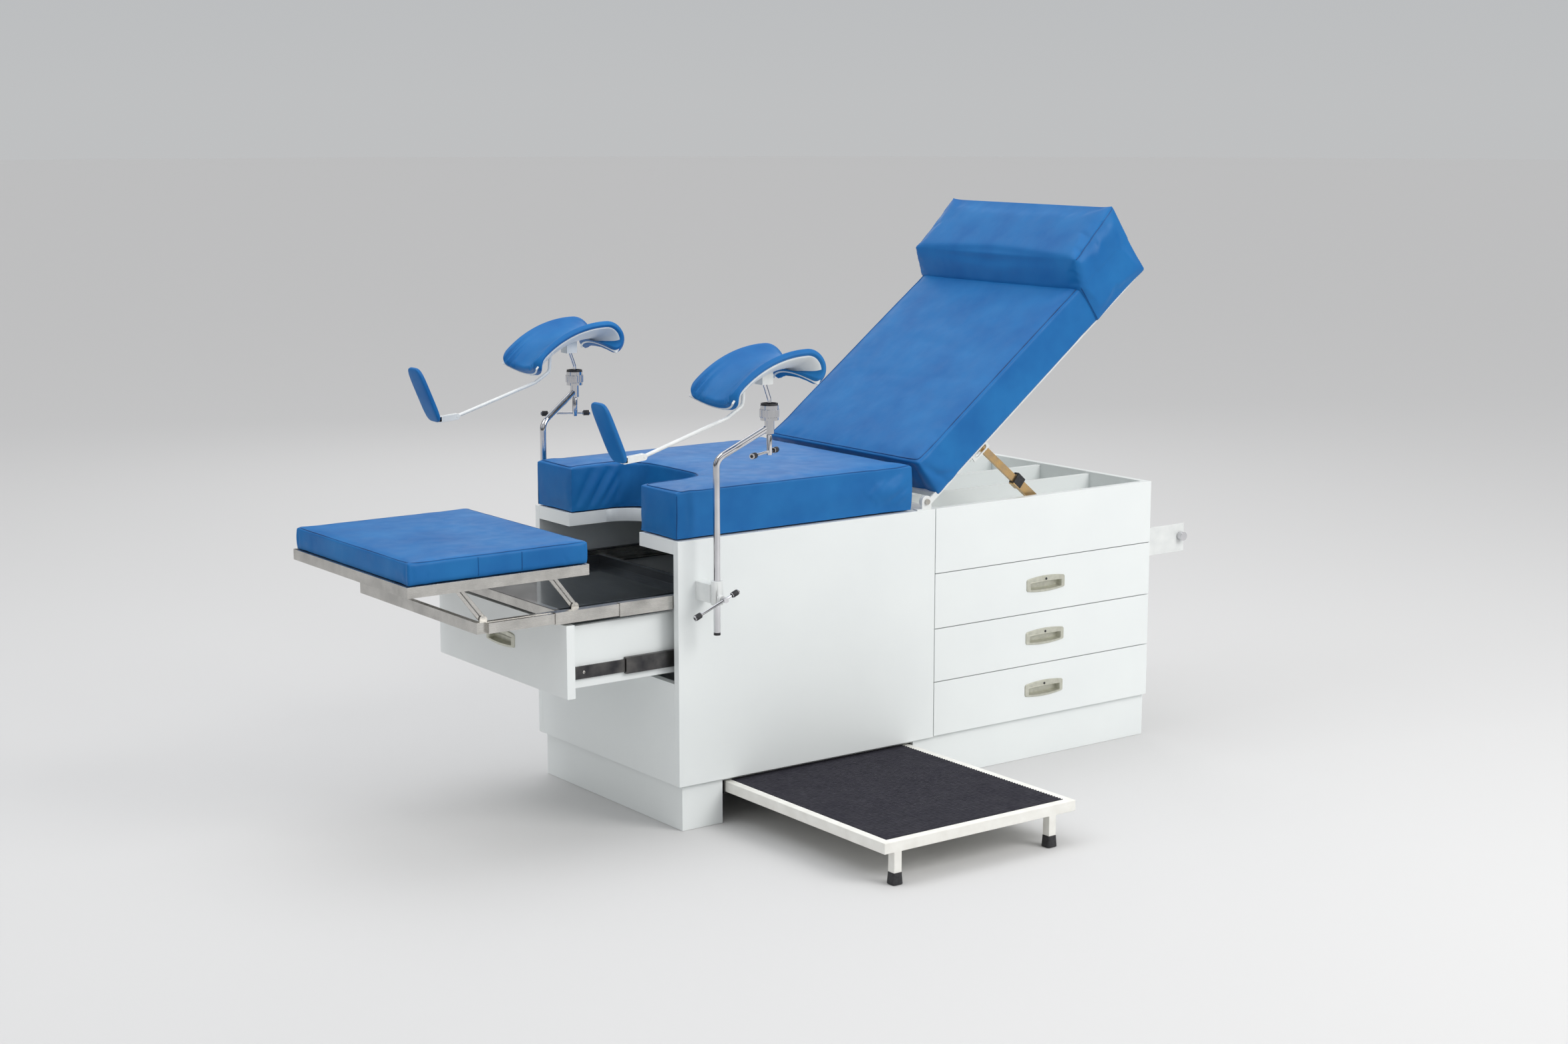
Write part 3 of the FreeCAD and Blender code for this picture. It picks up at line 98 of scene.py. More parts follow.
def light_the_room():
    """Sky brightness rises with height.  Reflections also see upright dark screens at even turns round the
    room, which put light and dark bands along anything chromed."""
    world = bpy.data.worlds.new("studio")
    world.use_nodes = True
    scene.world = world
    tree = world.node_tree
    tree.nodes.clear()
    way = add_node(tree, "ShaderNodeTexCoord")
    up = add_node(tree, "ShaderNodeSeparateXYZ", {"Vector": way.outputs["Generated"]})
    sky = add_node(tree, "ShaderNodeValToRGB", {"Fac": up.outputs["Z"]})
    stops = ((0.0, 0.16), (0.12, 0.30), (0.30, 0.95), (0.62, 0.85), (1.0, 1.05))
    ramp = sky.color_ramp.elements
    for position, value in stops[1:-1]:
        ramp.new(position)
    for stop, (position, value) in zip(ramp, stops):
        stop.position = position
        stop.color = (value, value * 1.002, value * 1.01, 1)
    seen = add_node(tree, "ShaderNodeLightPath")
    around = add_node(tree, "ShaderNodeTexGradient", {"Vector": way.outputs["Generated"]},
                      gradient_type="RADIAL")
    turn = add_node(tree, "ShaderNodeMath", {0: around.outputs["Fac"], 1: 2 * math.pi * SCREENS},
                    operation="MULTIPLY")
    wave = add_node(tree, "ShaderNodeMath", {0: turn.outputs[0]}, operation="SINE")
    screen = add_node(tree, "ShaderNodeMapRange", {"Value": wave.outputs[0], "From Min": -0.35,
                                                   "From Max": 0.35, "To Min": 0.10, "To Max": 1.25})
    mirrored = add_node(tree, "ShaderNodeMix", {"Factor": seen.outputs["Is Glossy Ray"], "A": 1.0,
                                                "B": screen.outputs[0]}, data_type="FLOAT")
    level = add_node(tree, "ShaderNodeMath", {0: mirrored.outputs[0], 1: SKY_STRENGTH}, operation="MULTIPLY")
    lit = add_node(tree, "ShaderNodeBackground", {"Color": sky.outputs["Color"],
                                                  "Strength": level.outputs[0]})
    paper = add_node(tree, "ShaderNodeValToRGB", {"Fac": up.outputs["Z"]})
    for stop, position, tone in zip(paper.color_ramp.elements, (0.0, 0.25), (HORIZON_GREY, PAPER_WHITE)):
        stop.position = position
        stop.color = (*tone, 1)
    plain = add_node(tree, "ShaderNodeBackground", {"Color": paper.outputs["Color"], "Strength": 1.0})
    choice = add_node(tree, "ShaderNodeMixShader", {0: seen.outputs["Is Camera Ray"],
                                                    1: lit.outputs[0], 2: plain.outputs[0]})
    add_node(tree, "ShaderNodeOutputWorld", {"Surface": choice.outputs[0]})
    hang_lamp("key_lamp", (1.6, -4.6, 3.6), (0, 0, 0.6), 2.6, 142, (1.0, 0.99, 0.97))
    hang_lamp("top_lamp", (-0.4, 0.6, 4.2), (0, 0, 0.5), 3.0, 34, (0.97, 0.98, 1.0))
    hang_lamp("foot_lamp", (-3.2, 0.3, 4.4), (0.2, 0, 0.9), 2.0, 34, (0.96, 0.98, 1.0))
    hang_lamp("far_lamp", (2.4, 4.6, 3.0), (0, 0, 0.6), 2.4, 26, (1.0, 0.99, 0.98))


def lay_floor():
    """A disc: points at equal turns on a circle round the middle of the table."""
    turn = np.linspace(0, 2 * np.pi, 96, endpoint=False)
    ring = np.stack([FLOOR_RADIUS * np.cos(turn), FLOOR_RADIUS * np.sin(turn), np.full(96, -0.0005)], -1)
    mesh = bpy.data.meshes.new("floor")
    mesh.from_pydata(ring.tolist(), [], [list(range(96))])
    floor = add_object("floor", mesh)
    paint = bpy.data.materials.new("floor_paint")
    paint.use_nodes = True
    shader = paint.node_tree.nodes["Principled BSDF"]
    shader.inputs["Base Color"].default_value = (*FLOOR_GREY, 1)
    shader.inputs["Roughness"].default_value = 0.9
    shader.inputs["Specular IOR Level"].default_value = 0.1
    mesh.materials.append(paint)


def stand_camera():
    camera = add_object("camera", bpy.data.cameras.new("camera"))
    camera.data.lens = LENS_MM
    camera.data.sensor_width = FILM_MM
    camera.location = EYE
    level = math.cos(EYE_DIP)
    ahead = Vector((math.sin(EYE_TURN) * level, math.cos(EYE_TURN) * level, -math.sin(EYE_DIP)))
    camera.rotation_euler = ahead.to_track_quat("-Z", "Y").to_euler()
    scene.camera = camera


light_the_room()
lay_floor()
stand_camera()
scene.view_settings.view_transform = "Standard"

# ---------------------------------------------------------------- cabinet boards
# The cabinet is board faced with white laminate: a plinth, two long sides, two ends, a bottom, an upright and
# a seat board, cut square, edge-banded and glued.  The banded edges are eased by half a millimetre.
LAMINATE = (0.835, 0.87, 0.865)
LAMINATE_SHADE = (0.805, 0.84, 0.84)
BANDED_EDGE = 0.0006
BOARDS = ("plinth", "near_panels", "far_panel", "foot_panel", "head_panel", "carcass", "instrument_tray",
          "seat_board")


def patches(tree, size, stretch=(1, 1, 1), detail=3.0):
    """Noise in patches of that size in metres, drawn out along an axis by stretch."""
    place = add_node(tree, "ShaderNodeTexCoord")
    scale = [1 / (size * long) for long in stretch]
    mapping = add_node(tree, "ShaderNodeMapping", {"Vector": place.outputs["Object"], "Scale": scale})
    return add_node(tree, "ShaderNodeTexNoise", {"Vector": mapping.outputs[0], "Scale": 1.0,
                                                 "Detail": detail}).outputs["Fac"]


def shaded(tree, amount, dark, light, edges=(0.3, 0.7)):
    """A colour that runs from dark to light as the amount goes from one edge to the other."""
    ramp = add_node(tree, "ShaderNodeValToRGB", {"Fac": amount})
    for stop, position, colour in zip(ramp.color_ramp.elements, edges, (dark, light)):
        stop.position = position
        stop.color = (*colour, 1)
    return ramp.outputs["Color"]


def between(tree, amount, low, high):
    """A number from low to high as the amount goes from 0.3 to 0.7."""
    return add_node(tree, "ShaderNodeMapRange", {"Value": amount, "From Min": 0.3, "From Max": 0.7,
                                                 "To Min": low, "To Max": high}).outputs[0]


def relief(tree, height, depth, under=None):
    """A bump of that depth in metres, laid over another one."""
    sockets = {"Height": height, "Distance": depth, "Strength": 1.0}
    if under:
        sockets["Normal"] = under
    return add_node(tree, "ShaderNodeBump", sockets).outputs["Normal"]


def new_finish(name, sockets):
    """A finish whose plain values sit on the shader's own sockets."""
    made = bpy.data.materials.new(name)
    made.use_nodes = True
    shader = made.node_tree.nodes["Principled BSDF"]
    for socket, value in sockets.items():
        shader.inputs[socket].default_value = value
    return made, made.node_tree, shader


def drive(tree, shader, **outputs):
    """Links node outputs to the shader's sockets, named without spaces."""
    names = {"colour": "Base Color", "rough": "Roughness", "normal": "Normal"}
    for word, output in outputs.items():
        tree.links.new(output, shader.inputs[names[word]])


def laminate():
    """White melamine: faint cloudiness, a light orange peel and a semi-gloss that varies with handling."""
    made, tree, shader = new_finish("white_laminate", {"Coat Weight": 0.25, "Coat Roughness": 0.22,
                                                       "Specular IOR Level": 0.45})
    cloud = patches(tree, 0.22)
    peel = patches(tree, 0.0016, detail=1.0)
    drive(tree, shader, colour=shaded(tree, cloud, LAMINATE_SHADE, LAMINATE),
          normal=relief(tree, peel, 2.5e-5), rough=between(tree, patches(tree, 0.05), 0.30, 0.42))
    return made


def dress(nodes, finish):
    for name in nodes:
        for place in frame["nodes"][name].material_slots:
            place.material = finish


def ease(piece, width, segments=2):
    """Breaks every edge sharper than 35 degrees by that width, with the flat faces left flat."""
    bevel = piece.modifiers.new("eased_edges", "BEVEL")
    bevel.width = width
    bevel.segments = segments
    bevel.limit_method = "ANGLE"
    bevel.angle_limit = math.radians(35)
    bevel.harden_normals = True


def ease_node(name, width):
    """A node's loose triangles are joined by a Weld before their edges can be eased."""
    weld = frame["nodes"][name].modifiers.new("joined", "WELD")
    weld.merge_threshold = 1e-6
    ease(frame["nodes"][name], width)


white_laminate = laminate()
dress(BOARDS, white_laminate)
for board in BOARDS:
    ease_node(board, BANDED_EDGE)

# ---------------------------------------------------------------- side drawers
# Three drawers under the head half.  Each has a board front, a white box on two steel runners and a recessed
# pull pressed from champagne-coloured alloy, with a bowed face plate, a finger cup and a small lock barrel.
PULL_LONG = 0.124
PULL_END = 0.029
PULL_BOW = 0.011
PULL_PROUD = 0.0024
CAD_PULL_PROUD = 0.0025
PULL_CUP = 0.0115
LOCK_RADIUS = 0.0030
CHAMPAGNE = (0.64, 0.64, 0.55)
CHAMPAGNE_DARK = (0.52, 0.52, 0.44)


def joined_points(node):
    """Points and triangles of a CAD node, with points that share a place made one."""
    mesh = frame["nodes"][node].data
    points = np.empty(len(mesh.vertices) * 3, np.float32)
    mesh.vertices.foreach_get("co", points)
    corners = np.empty(len(mesh.loops), np.int32)
    mesh.loops.foreach_get("vertex_index", corners)
    points = points.reshape(-1, 3).astype(float)
    _, first, number = np.unique(np.round(points * 2e5).astype(np.int64), axis=0, return_index=True,
                                 return_inverse=True)
    triangles = number.reshape(-1)[corners].reshape(-1, 3)
    ends = np.sort(triangles, axis=1)
    whole = (ends[:, 0] != ends[:, 1]) & (ends[:, 1] != ends[:, 2])
    return points[first], triangles[whole]


def solids(node):
    """The separate solids of a CAD node: every point takes the lowest number that it can reach over shared
    triangles, and points with one number are one solid."""
    points, triangles = joined_points(node)
    label = np.arange(len(points))
    while True:
        lowest = label[triangles].min(axis=1)
        spread = label.copy()
        np.minimum.at(spread, triangles, np.broadcast_to(lowest[:, None], triangles.shape))
        spread = spread[spread]
        if (spread == label).all():
            break
        label = spread
    found = []
    for number in np.unique(label):
        keep = label == number
        place = np.cumsum(keep) - 1
        found.append((points[keep], place[triangles[keep[triangles[:, 0]]]]))
    return sorted(found, key=lambda solid: -np.ptp(solid[0], axis=0).prod())


def new_piece(name, points, faces, finish, sharp=40):
    """A mesh object at the origin with its place in its points; edges over the sharp angle stay crisp."""
    mesh = bpy.data.meshes.new(name)
    mesh.from_pydata(np.asarray(points, float).tolist(), [], [list(map(int, face)) for face in faces])
    mesh.validate()
    mesh.polygons.foreach_set("use_smooth", [True] * len(mesh.polygons))
    mesh.set_sharp_from_angle(angle=math.radians(sharp))
    mesh.materials.append(finish)
    return add_object(name, mesh)


def squares(rows, columns, ring=False):
    """Corner numbers of the squares between neighbours on a grid; a ring joins its last column to its first."""
    row, column = np.meshgrid(np.arange(rows - 1), np.arange(columns if ring else columns - 1), indexing="ij")
    after = (column + 1) % columns
    return np.stack([row * columns + column, row * columns + after, (row + 1) * columns + after,
                     (row + 1) * columns + column], -1).reshape(-1, 4)


def lathe(profile, start, axis, sides=32, flutes=0, depth=0.0):
    """Turned part: the profile's (distance along, radius) pairs carried round the axis; flutes are a cosine
    ripple of that depth on the radius, away from both ends."""
    start = np.array(start, float)
    axis = np.array(axis, float) / np.linalg.norm(axis)
    other = np.array([0, 0, 1.0]) if abs(axis[2]) < 0.9 else np.array([1.0, 0, 0])
    side = np.cross(axis, other)
    side /= np.linalg.norm(side)
    turn = np.linspace(0, 2 * np.pi, sides, endpoint=False)
    along, radius = np.array(profile, float).T
    ripple = 1 - depth * (0.5 - 0.5 * np.cos(flutes * turn)) if flutes else np.ones(sides)
    inner = np.ones(len(along))
    inner[[0, -1]] = 0
    radii = radius[:, None] * (1 + (ripple - 1)[None, :] * inner[:, None])
    round_it = np.cos(turn)[:, None] * side + np.sin(turn)[:, None] * np.cross(axis, side)
    points = start + along[:, None, None] * axis + radii[:, :, None] * round_it[None]
    rows = len(along)
    ends = [list(range(sides))[::-1], list(range((rows - 1) * sides, rows * sides))]
    return points.reshape(-1, 3), [*squares(rows, sides, ring=True), *ends]


def champagne_alloy():
    """Satin anodised alloy: fine grain along the plate and a slightly uneven tint."""
    made, tree, shader = new_finish("champagne_alloy", {"Metallic": 0.55, "Coat Weight": 0.2,
                                                        "Coat Roughness": 0.25})
    grain = patches(tree, 0.0009, stretch=(9, 9, 1))
    drive(tree, shader, colour=shaded(tree, patches(tree, 0.012), CHAMPAGNE_DARK, CHAMPAGNE),
          rough=between(tree, grain, 0.30, 0.42), normal=relief(tree, grain, 2e-5))
    return made


def black_moulding(name="black_moulding", tone=0.018):
    """Moulded rubber or nylon: near black, with a fine spark-eroded grain and dustier high spots."""
    made, tree, shader = new_finish(name, {"Specular IOR Level": 0.4})
    grain = patches(tree, 0.0007, detail=2.0)
    drive(tree, shader, colour=shaded(tree, patches(tree, 0.006), (tone, tone, tone * 1.15),
                                      (tone * 2.2, tone * 2.2, tone * 2.4)),
          rough=between(tree, grain, 0.45, 0.68), normal=relief(tree, grain, 6e-5))
    return made


def pull_plate(columns=129, rows=81):
    """Face plate of a pull as x, depth and height: its height bows from the ends to the middle as a parabola,
    and the cup is a smooth step down inside a window that sits low in the plate."""
    across, up = np.meshgrid(np.linspace(-1, 1, columns), np.linspace(-1, 1, rows), indexing="xy")
    half_high = PULL_END / 2 + PULL_BOW / 2 * (1 - across ** 2)
    corner = np.clip((np.abs(across) - 0.93) / 0.07, 0, 1)
    half_high = half_high - 0.004 * corner ** 2
    edge = np.minimum(1 - np.abs(across), (1 - np.abs(up)) * 0.33)
    rim = PULL_PROUD * np.clip(edge / 0.03, 0, 1) ** 0.5
    window = np.minimum(0.80 - np.abs(across), np.minimum(up + 0.66, 0.30 - up) * 0.36)
    dish = np.clip(window / 0.06 + 0.15, 0, 1)
    dish = dish * dish * (3 - 2 * dish)
    lip = 0.0012 * np.exp(-(window / 0.03) ** 2)
    depth = -rim - lip * (1 - dish) + dish * (PULL_CUP + PULL_PROUD)
    points = np.stack([across * PULL_LONG / 2, depth, up * half_high], -1)
    return points.reshape(-1, 3), squares(rows, columns)


def fit_pull(name, centre, face_along, body):
    """Plate and lock barrel on a front; face_along turns the plate's x and depth into the row's X and Y."""
    flat, faces = pull_plate()
    points = centre + flat[:, :1] * face_along[0] + flat[:, 1:2] * face_along[1] + flat[:, 2:] * [0, 0, 1]
    plate = new_piece(name + "_pull", points, faces, champagne, sharp=60)
    wall = plate.modifiers.new("sheet", "SOLIDIFY")
    wall.thickness = 0.0008
    wall.offset = -1
    lock_at = centre + face_along[1] * (-PULL_PROUD - 0.0006) + [0, 0, 0.0115]
    barrel_profile = [(0, 0.0004), (0, LOCK_RADIUS), (0.0016, LOCK_RADIUS * 1.05), (0.0016, 0.0004)]
    barrel = new_piece(name + "_lock", *lathe(barrel_profile, lock_at, face_along[1], sides=24), black_nylon)
    for piece in (plate, barrel):
        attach(piece, body)
    return plate


def dress_front(name, body, face_along):
    """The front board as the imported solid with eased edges, and its pull."""
    node = name + "_drawer_front"
    boards = solids(node)
    board = new_piece(name + "_front_board", *boards[0], white_laminate)
    ease(board, BANDED_EDGE)
    handle = boards[1][0]
    middle = (handle.min(axis=0) + handle.max(axis=0)) / 2
    inward = int(np.argmax(face_along[1]))
    middle[inward] = handle[:, inward].min() + CAD_PULL_PROUD
    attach(board, body)
    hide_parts(node)
    fit_pull(name, middle, face_along, body)


champagne = champagne_alloy()
black_nylon = black_moulding()
for level in ("top", "middle", "bottom"):
    dress_front(level, level + "_drawer", np.array([[1.0, 0, 0], [0, 1.0, 0]]))
    ease_node(level + "_drawer_box", 0.0005)
dress([level + "_drawer_box" for level in ("top", "middle", "bottom")], white_laminate)

# ---------------------------------------------------------------- seat cushion
# A slab of firm foam, notched like a horseshoe at the foot end, glued to the seat board and covered in blue
# vinyl.  The cover is cut in flat panels, so a fine seam runs round the top, and it puckers at the corners
# and where it is pulled round the notch.
VINYL = (0.004, 0.116, 0.360)
VINYL_WORN = (0.010, 0.158, 0.430)
# The seam cords' colour is painted shade: the shadow in each seam's groove, laid into a darker vinyl.
SEAM_PAINTED_SHADE = (0.001, 0.026, 0.110)
SKIN_SQUARE = 0.0065
DRAW_IN = 0.0040
SEAT_SWELL = 0.0065
NOTCH = (0.180, 0.295)
NOTCH_RADIUS = 0.080
SEAM_INSET = 0.010
SEAM_RADIUS = 0.0013
BLOW_FRAMES = 20


def blue_vinyl(name="blue_vinyl", colour=VINYL, light=VINYL_WORN):
    """Leather-grained vinyl: small raised cells, softer dents of a few centimetres, and a satin sheen that
    is duller where the cover is rubbed."""
    made, tree, shader = new_finish(name, {"Specular IOR Level": 0.26})
    place = add_node(tree, "ShaderNodeTexCoord").outputs["Object"]
    cells = add_node(tree, "ShaderNodeTexVoronoi", {"Vector": place, "Scale": 620.0}).outputs["Distance"]
    dents = patches(tree, 0.055, detail=2.0)
    grain = relief(tree, cells, 1.0e-4)
    drive(tree, shader, colour=shaded(tree, patches(tree, 0.11), colour, light),
          rough=between(tree, patches(tree, 0.035), 0.44, 0.56),
          normal=relief(tree, dents, 0.7e-3, under=grain))
    return made


def applied(piece):
    """The piece's mesh with its modifiers worked into it."""
    scene_now = bpy.context.evaluated_depsgraph_get()
    made = bpy.data.meshes.new_from_object(piece.evaluated_get(scene_now))
    piece.modifiers.clear()
    piece.data = made
    return made


def points_of(mesh, what="co"):
    held = np.empty(len(mesh.vertices) * 3, np.float32)
    (mesh.vertices if what == "co" else mesh.vertex_normals).foreach_get(
        "co" if what == "co" else "vector", held)
    return held.reshape(-1, 3).astype(float)


def set_points(mesh, points):
    mesh.vertices.foreach_set("co", np.ascontiguousarray(points, np.float32).ravel())
    mesh.update()


def stuffed(name, points, faces, finish, draw_in, swell, floor=None, square=SKIN_SQUARE, pressure=4.0):
    """A cushion under pressure.  The skin is cut into even squares and drawn in along its normals, then blown
    up for twenty frames with no weight.  A point that would move by d moves by d / sqrt(1 + (d / swell)²), so
    none moves further than swell.  The skin is rounded once, and held level where it rests on a floor."""
    piece = new_piece(name, points, faces, finish)
    even = piece.modifiers.new("even_squares", "REMESH")
    even.mode = "VOXEL"
    even.voxel_size = square * 1
    mesh = applied(piece)
    start = points_of(mesh) - draw_in * points_of(mesh, "normal")
    set_points(mesh, start)
    cloth = piece.modifiers.new("cover", "CLOTH")
    cloth.settings.quality = 4
    cloth.settings.use_pressure = True
    cloth.settings.uniform_pressure_force = pressure
    cloth.settings.effector_weights.gravity = 0
    cloth.collision_settings.use_collision = False
    cloth.point_cache.frame_end = BLOW_FRAMES
    for number in range(1, BLOW_FRAMES + 1):
        scene.frame_set(number)
    mesh = applied(piece)
    scene.frame_set(1)
    move = points_of(mesh) - start
    far = np.linalg.norm(move, axis=1, keepdims=True)
    set_points(mesh, start + move / np.sqrt(1 + (far / swell) ** 2))
    round_off = piece.modifiers.new("rounded", "SUBSURF")
    round_off.levels = round_off.render_levels = 1
    mesh = applied(piece)
    if floor is not None:
        settled = points_of(mesh)
        settled[:, 2] = np.maximum(settled[:, 2], floor)
        set_points(mesh, settled)
    mesh.polygons.foreach_set("use_smooth", [True] * len(mesh.polygons))
    return piece


def creased(piece, folds):
    """Presses folds into a cover.  A fold is (start, end, half width w, depth): a point at distance d from
    the fold's line moves in by depth * (exp(-(d / w)²) - 0.45 exp(-(d / 2.2 w - 1.1)²)), fading towards both
    ends, so each fold has a valley with a soft ridge beside it."""
    mesh = piece.data
    points = points_of(mesh)
    normals = points_of(mesh, "normal")
    inward = np.zeros(len(points))
    for start, end, width, depth in folds:
        start, end = np.array(start, float), np.array(end, float)
        run = end - start
        along = np.clip((points - start) @ run / (run @ run), 0, 1)
        away = np.linalg.norm(points - start - along[:, None] * run, axis=1)
        fade = np.sin(np.pi * np.clip(along * 0.86 + 0.07, 0, 1)) ** 0.7
        valley = np.exp(-(away / width) ** 2) - 0.45 * np.exp(-(away / (2.2 * width) - 1.1) ** 2)
        inward += depth * fade * valley
    set_points(mesh, points - inward[:, None] * normals)


def swept_tube(path, radius, closed, sides=8):
    """Round cord along a path: at each point a circle across the path's direction, found from the
    difference between its neighbours, with the up axis setting where the circle starts."""
    path = np.asarray(path, float)
    if closed:
        ahead = np.roll(path, -1, axis=0) - np.roll(path, 1, axis=0)
    else:
        ahead = np.gradient(path, axis=0)
    ahead /= np.linalg.norm(ahead, axis=1, keepdims=True) + 1e-12
    up = np.where(np.abs(ahead[:, 2:]) > 0.9, np.array([[0, 1.0, 0]]), np.array([[0, 0, 1.0]]))
    side = np.cross(ahead, up)
    side /= np.linalg.norm(side, axis=1, keepdims=True)
    over = np.cross(side, ahead)
    turn = np.linspace(0, 2 * np.pi, sides, endpoint=False)
    ring = np.cos(turn)[None, :, None] * side[:, None] + np.sin(turn)[None, :, None] * over[:, None]
    points = (path[:, None] + radius * ring).reshape(-1, 3)
    rows = len(path)
    if closed:
        points = np.concatenate([points, points[:sides]])
        faces = squares(rows + 1, sides, ring=True) % (rows * sides)
        return points[:rows * sides], list(faces)
    ends = [list(range(sides))[::-1], list(range((rows - 1) * sides, rows * sides))]
    return points, [*squares(rows, sides, ring=True), *ends]


def spaced(corners, step, closed=False):
    """Points every step along straight runs between the corners."""
    corners = np.asarray(corners, float)
    if closed:
        corners = np.concatenate([corners, corners[:1]])
    runs = np.linalg.norm(np.diff(corners, axis=0), axis=1)
    far = np.concatenate([[0], np.cumsum(runs)])
    at = np.linspace(0, far[-1], max(int(far[-1] / step), 2), endpoint=not closed)
    return np.stack([np.interp(at, far, corners[:, axis]) for axis in range(3)], -1)


def laid_on(path, piece, lift):
    """The path moved to the nearest place on a piece's surface, and lifted off it."""
    wire = bpy.data.meshes.new("wire")
    wire.from_pydata(np.asarray(path).tolist(), [[k, k + 1] for k in range(len(path) - 1)], [])
    guide = add_object("wire", wire)
    wrap = guide.modifiers.new("on", "SHRINKWRAP")
    wrap.target = piece
    wrap.wrap_method = "NEAREST_SURFACEPOINT"
    wrap.wrap_mode = "ABOVE_SURFACE"
    wrap.offset = lift
    laid = points_of(applied(guide))
    bpy.data.objects.remove(guide)
    return laid


def eased_line(path, closed, times=6):
    """Each point moved to the mean of itself and its two neighbours, several times."""
    path = np.asarray(path, float)
    for _ in range(times):
        mean = (np.roll(path, 1, axis=0) + path * 2 + np.roll(path, -1, axis=0)) / 4
        if not closed:
            mean[[0, -1]] = path[[0, -1]]
        path = mean
    return path


def sew(name, corners, piece, body, closed, lift=0.0001, radius=SEAM_RADIUS):
    """A sewn seam: a fine cord of the cover's vinyl, painted darker as the shade in the seam's groove, half
    sunk in the cover along a line of corners.
    """
    line = eased_line(laid_on(spaced(corners, 0.004, closed), piece, lift), closed)
    seam = new_piece(name, *swept_tube(line, radius, closed), seam_shade_vinyl)
    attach(seam, body)
    return seam


def horseshoe(low, high, inset, notch, notch_radius):
    """Outline of the seat seen from above, drawn in by inset: round the near foot corner, the head end, the
    far foot corner and back along the notch, whose two inner corners are quarter circles."""
    near, far = low[1] + inset, high[1] - inset
    foot, head = low[0] + inset, high[0] - inset
    half = notch[1] / 2 + inset
    deep = low[0] + notch[0] + inset
    bend = notch_radius + inset
    turn = np.linspace(0, np.pi / 2, 10)
    far_bend = np.stack([deep - bend + bend * np.sin(turn), half - bend + bend * np.cos(turn)], -1)
    near_bend = far_bend[::-1] * [1, -1]
    sides = np.array([[foot, half]])
    outline = np.concatenate([np.array([[foot, -half], [foot, near], [head, near], [head, far], [foot, far]]),
                              sides, far_bend, near_bend])
    return np.concatenate([outline, np.full((len(outline), 1), high[2])], axis=1)


def dress_seat():
    low, high = (np.array(corner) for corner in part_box("seat_cushion"))
    cushion = stuffed("seat_cover", *joined_points("seat_cushion"), vinyl, DRAW_IN, SEAT_SWELL, floor=low[2])
    deep = low[0] + NOTCH[0]
    half = NOTCH[1] / 2
    top = high[2]
    folds = []
    for side in (-1, 1):
        edge = side * high[1]
        foot, head = low[0], high[0]
        folds += [
            ((foot + 0.030, edge, top - 0.012), (foot + 0.034, edge, low[2] + 0.02), 0.0055, 0.0085),
            ((foot + 0.010, edge, top - 0.020), (foot + 0.012, edge, low[2] + 0.03), 0.004, 0.0020),
            ((foot + 0.004, edge, top), (foot + 0.060, edge - side * 0.045, top), 0.006, 0.0022),
            ((head, edge - side * 0.02, top - 0.01), (head, edge - side * 0.03, low[2] + 0.02), 0.006, 0.003),
            ((head - 0.015, edge, low[2] + 0.065), (head - 0.085, edge, low[2] + 0.020), 0.006, 0.0030),
            ((head - 0.010, edge, low[2] + 0.045), (head - 0.050, edge, low[2] + 0.010), 0.005, 0.0026),
            ((foot + 0.16, edge, top - 0.004), (foot + 0.23, edge, top - 0.012), 0.004, 0.0012),
            ((foot + 0.30, edge, top - 0.006), (foot + 0.40, edge, top - 0.010), 0.004, 0.0011),
            ((foot + 0.44, edge, top - 0.004), (foot + 0.50, edge, top - 0.014), 0.004, 0.0012),
        ]
        inner = side * half
        for shift, lean, depth in ((0.030, 0.030, 0.004), (0.066, 0.040, 0.0055), (0.098, 0.045, 0.005),
                                   (0.128, 0.030, 0.004)):
            folds.append(((foot + shift + lean, inner, top - 0.018),
                          (foot + shift - 0.012, inner, low[2] + 0.012), 0.008, depth))
    for angle in (-50, -18, 20, 52):
        turn = math.radians(angle)
        spot = np.array([deep - 0.008, 0.5 * half * math.tan(turn), 0])
        folds.append(((spot[0], spot[1], top - 0.02), (spot[0], spot[1] * 1.2, low[2] + 0.015), 0.008, 0.003))
    creased(cushion, folds)
    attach(cushion, "cabinet")
    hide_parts("seat_cushion")
    rim = horseshoe(low, high, SEAM_INSET, NOTCH, NOTCH_RADIUS)
    sew("seat_top_seam", rim, cushion, "cabinet", True)
    for side in (-1, 1):
        corner = (low[0] + 0.004, side * (high[1] - 0.004))
        sew(f"seat_corner_seam_{'near' if side < 0 else 'far'}",
            [(*corner, top - 0.012), (*corner, low[2] + 0.004)], cushion, "cabinet", False)
    return cushion


vinyl = blue_vinyl()
# The seams take the painted shade colour, darker than the cover, for the shadow in their grooves.
seam_shade_vinyl = blue_vinyl("blue_vinyl_painted_seam_shade", SEAM_PAINTED_SHADE, VINYL)
dress_seat()

# ---------------------------------------------------------------- backrest
# A plywood board painted white, hinged on two steel arms, under a long foam cushion in the same vinyl.  Its
# cover is drawn round the edges and stapled under the board, so it ripples a little across the middle and
# bunches at the hinge end.
BACK_SWELL = 0.0042
BACK_SKIN = 0.0070
BACK_EDGE_SEAM = 0.013
BACK_DRAW_IN = 0.0025
COVER_ABOVE_BOARD_FACE = 0.0008
UNDER_PILLOW = 0.035
PAINTED_PLY = (0.74, 0.76, 0.755)
PAINTED_PLY_THIN = (0.66, 0.66, 0.62)


def joint_named(name):
    return next(joint for joint in frame["joints"] if joint["name"] == name)


def painted_ply():
    """White paint brushed over plywood, with the grain showing through along the board."""
    made, tree, shader = new_finish("painted_plywood", {"Specular IOR Level": 0.35})
    grain = patches(tree, 0.004, stretch=(14, 1, 14), detail=4.0)
    drive(tree, shader, colour=shaded(tree, grain, PAINTED_PLY_THIN, PAINTED_PLY, (0.2, 0.55)),
          rough=between(tree, grain, 0.45, 0.6), normal=relief(tree, grain, 1.2e-4))
    return made


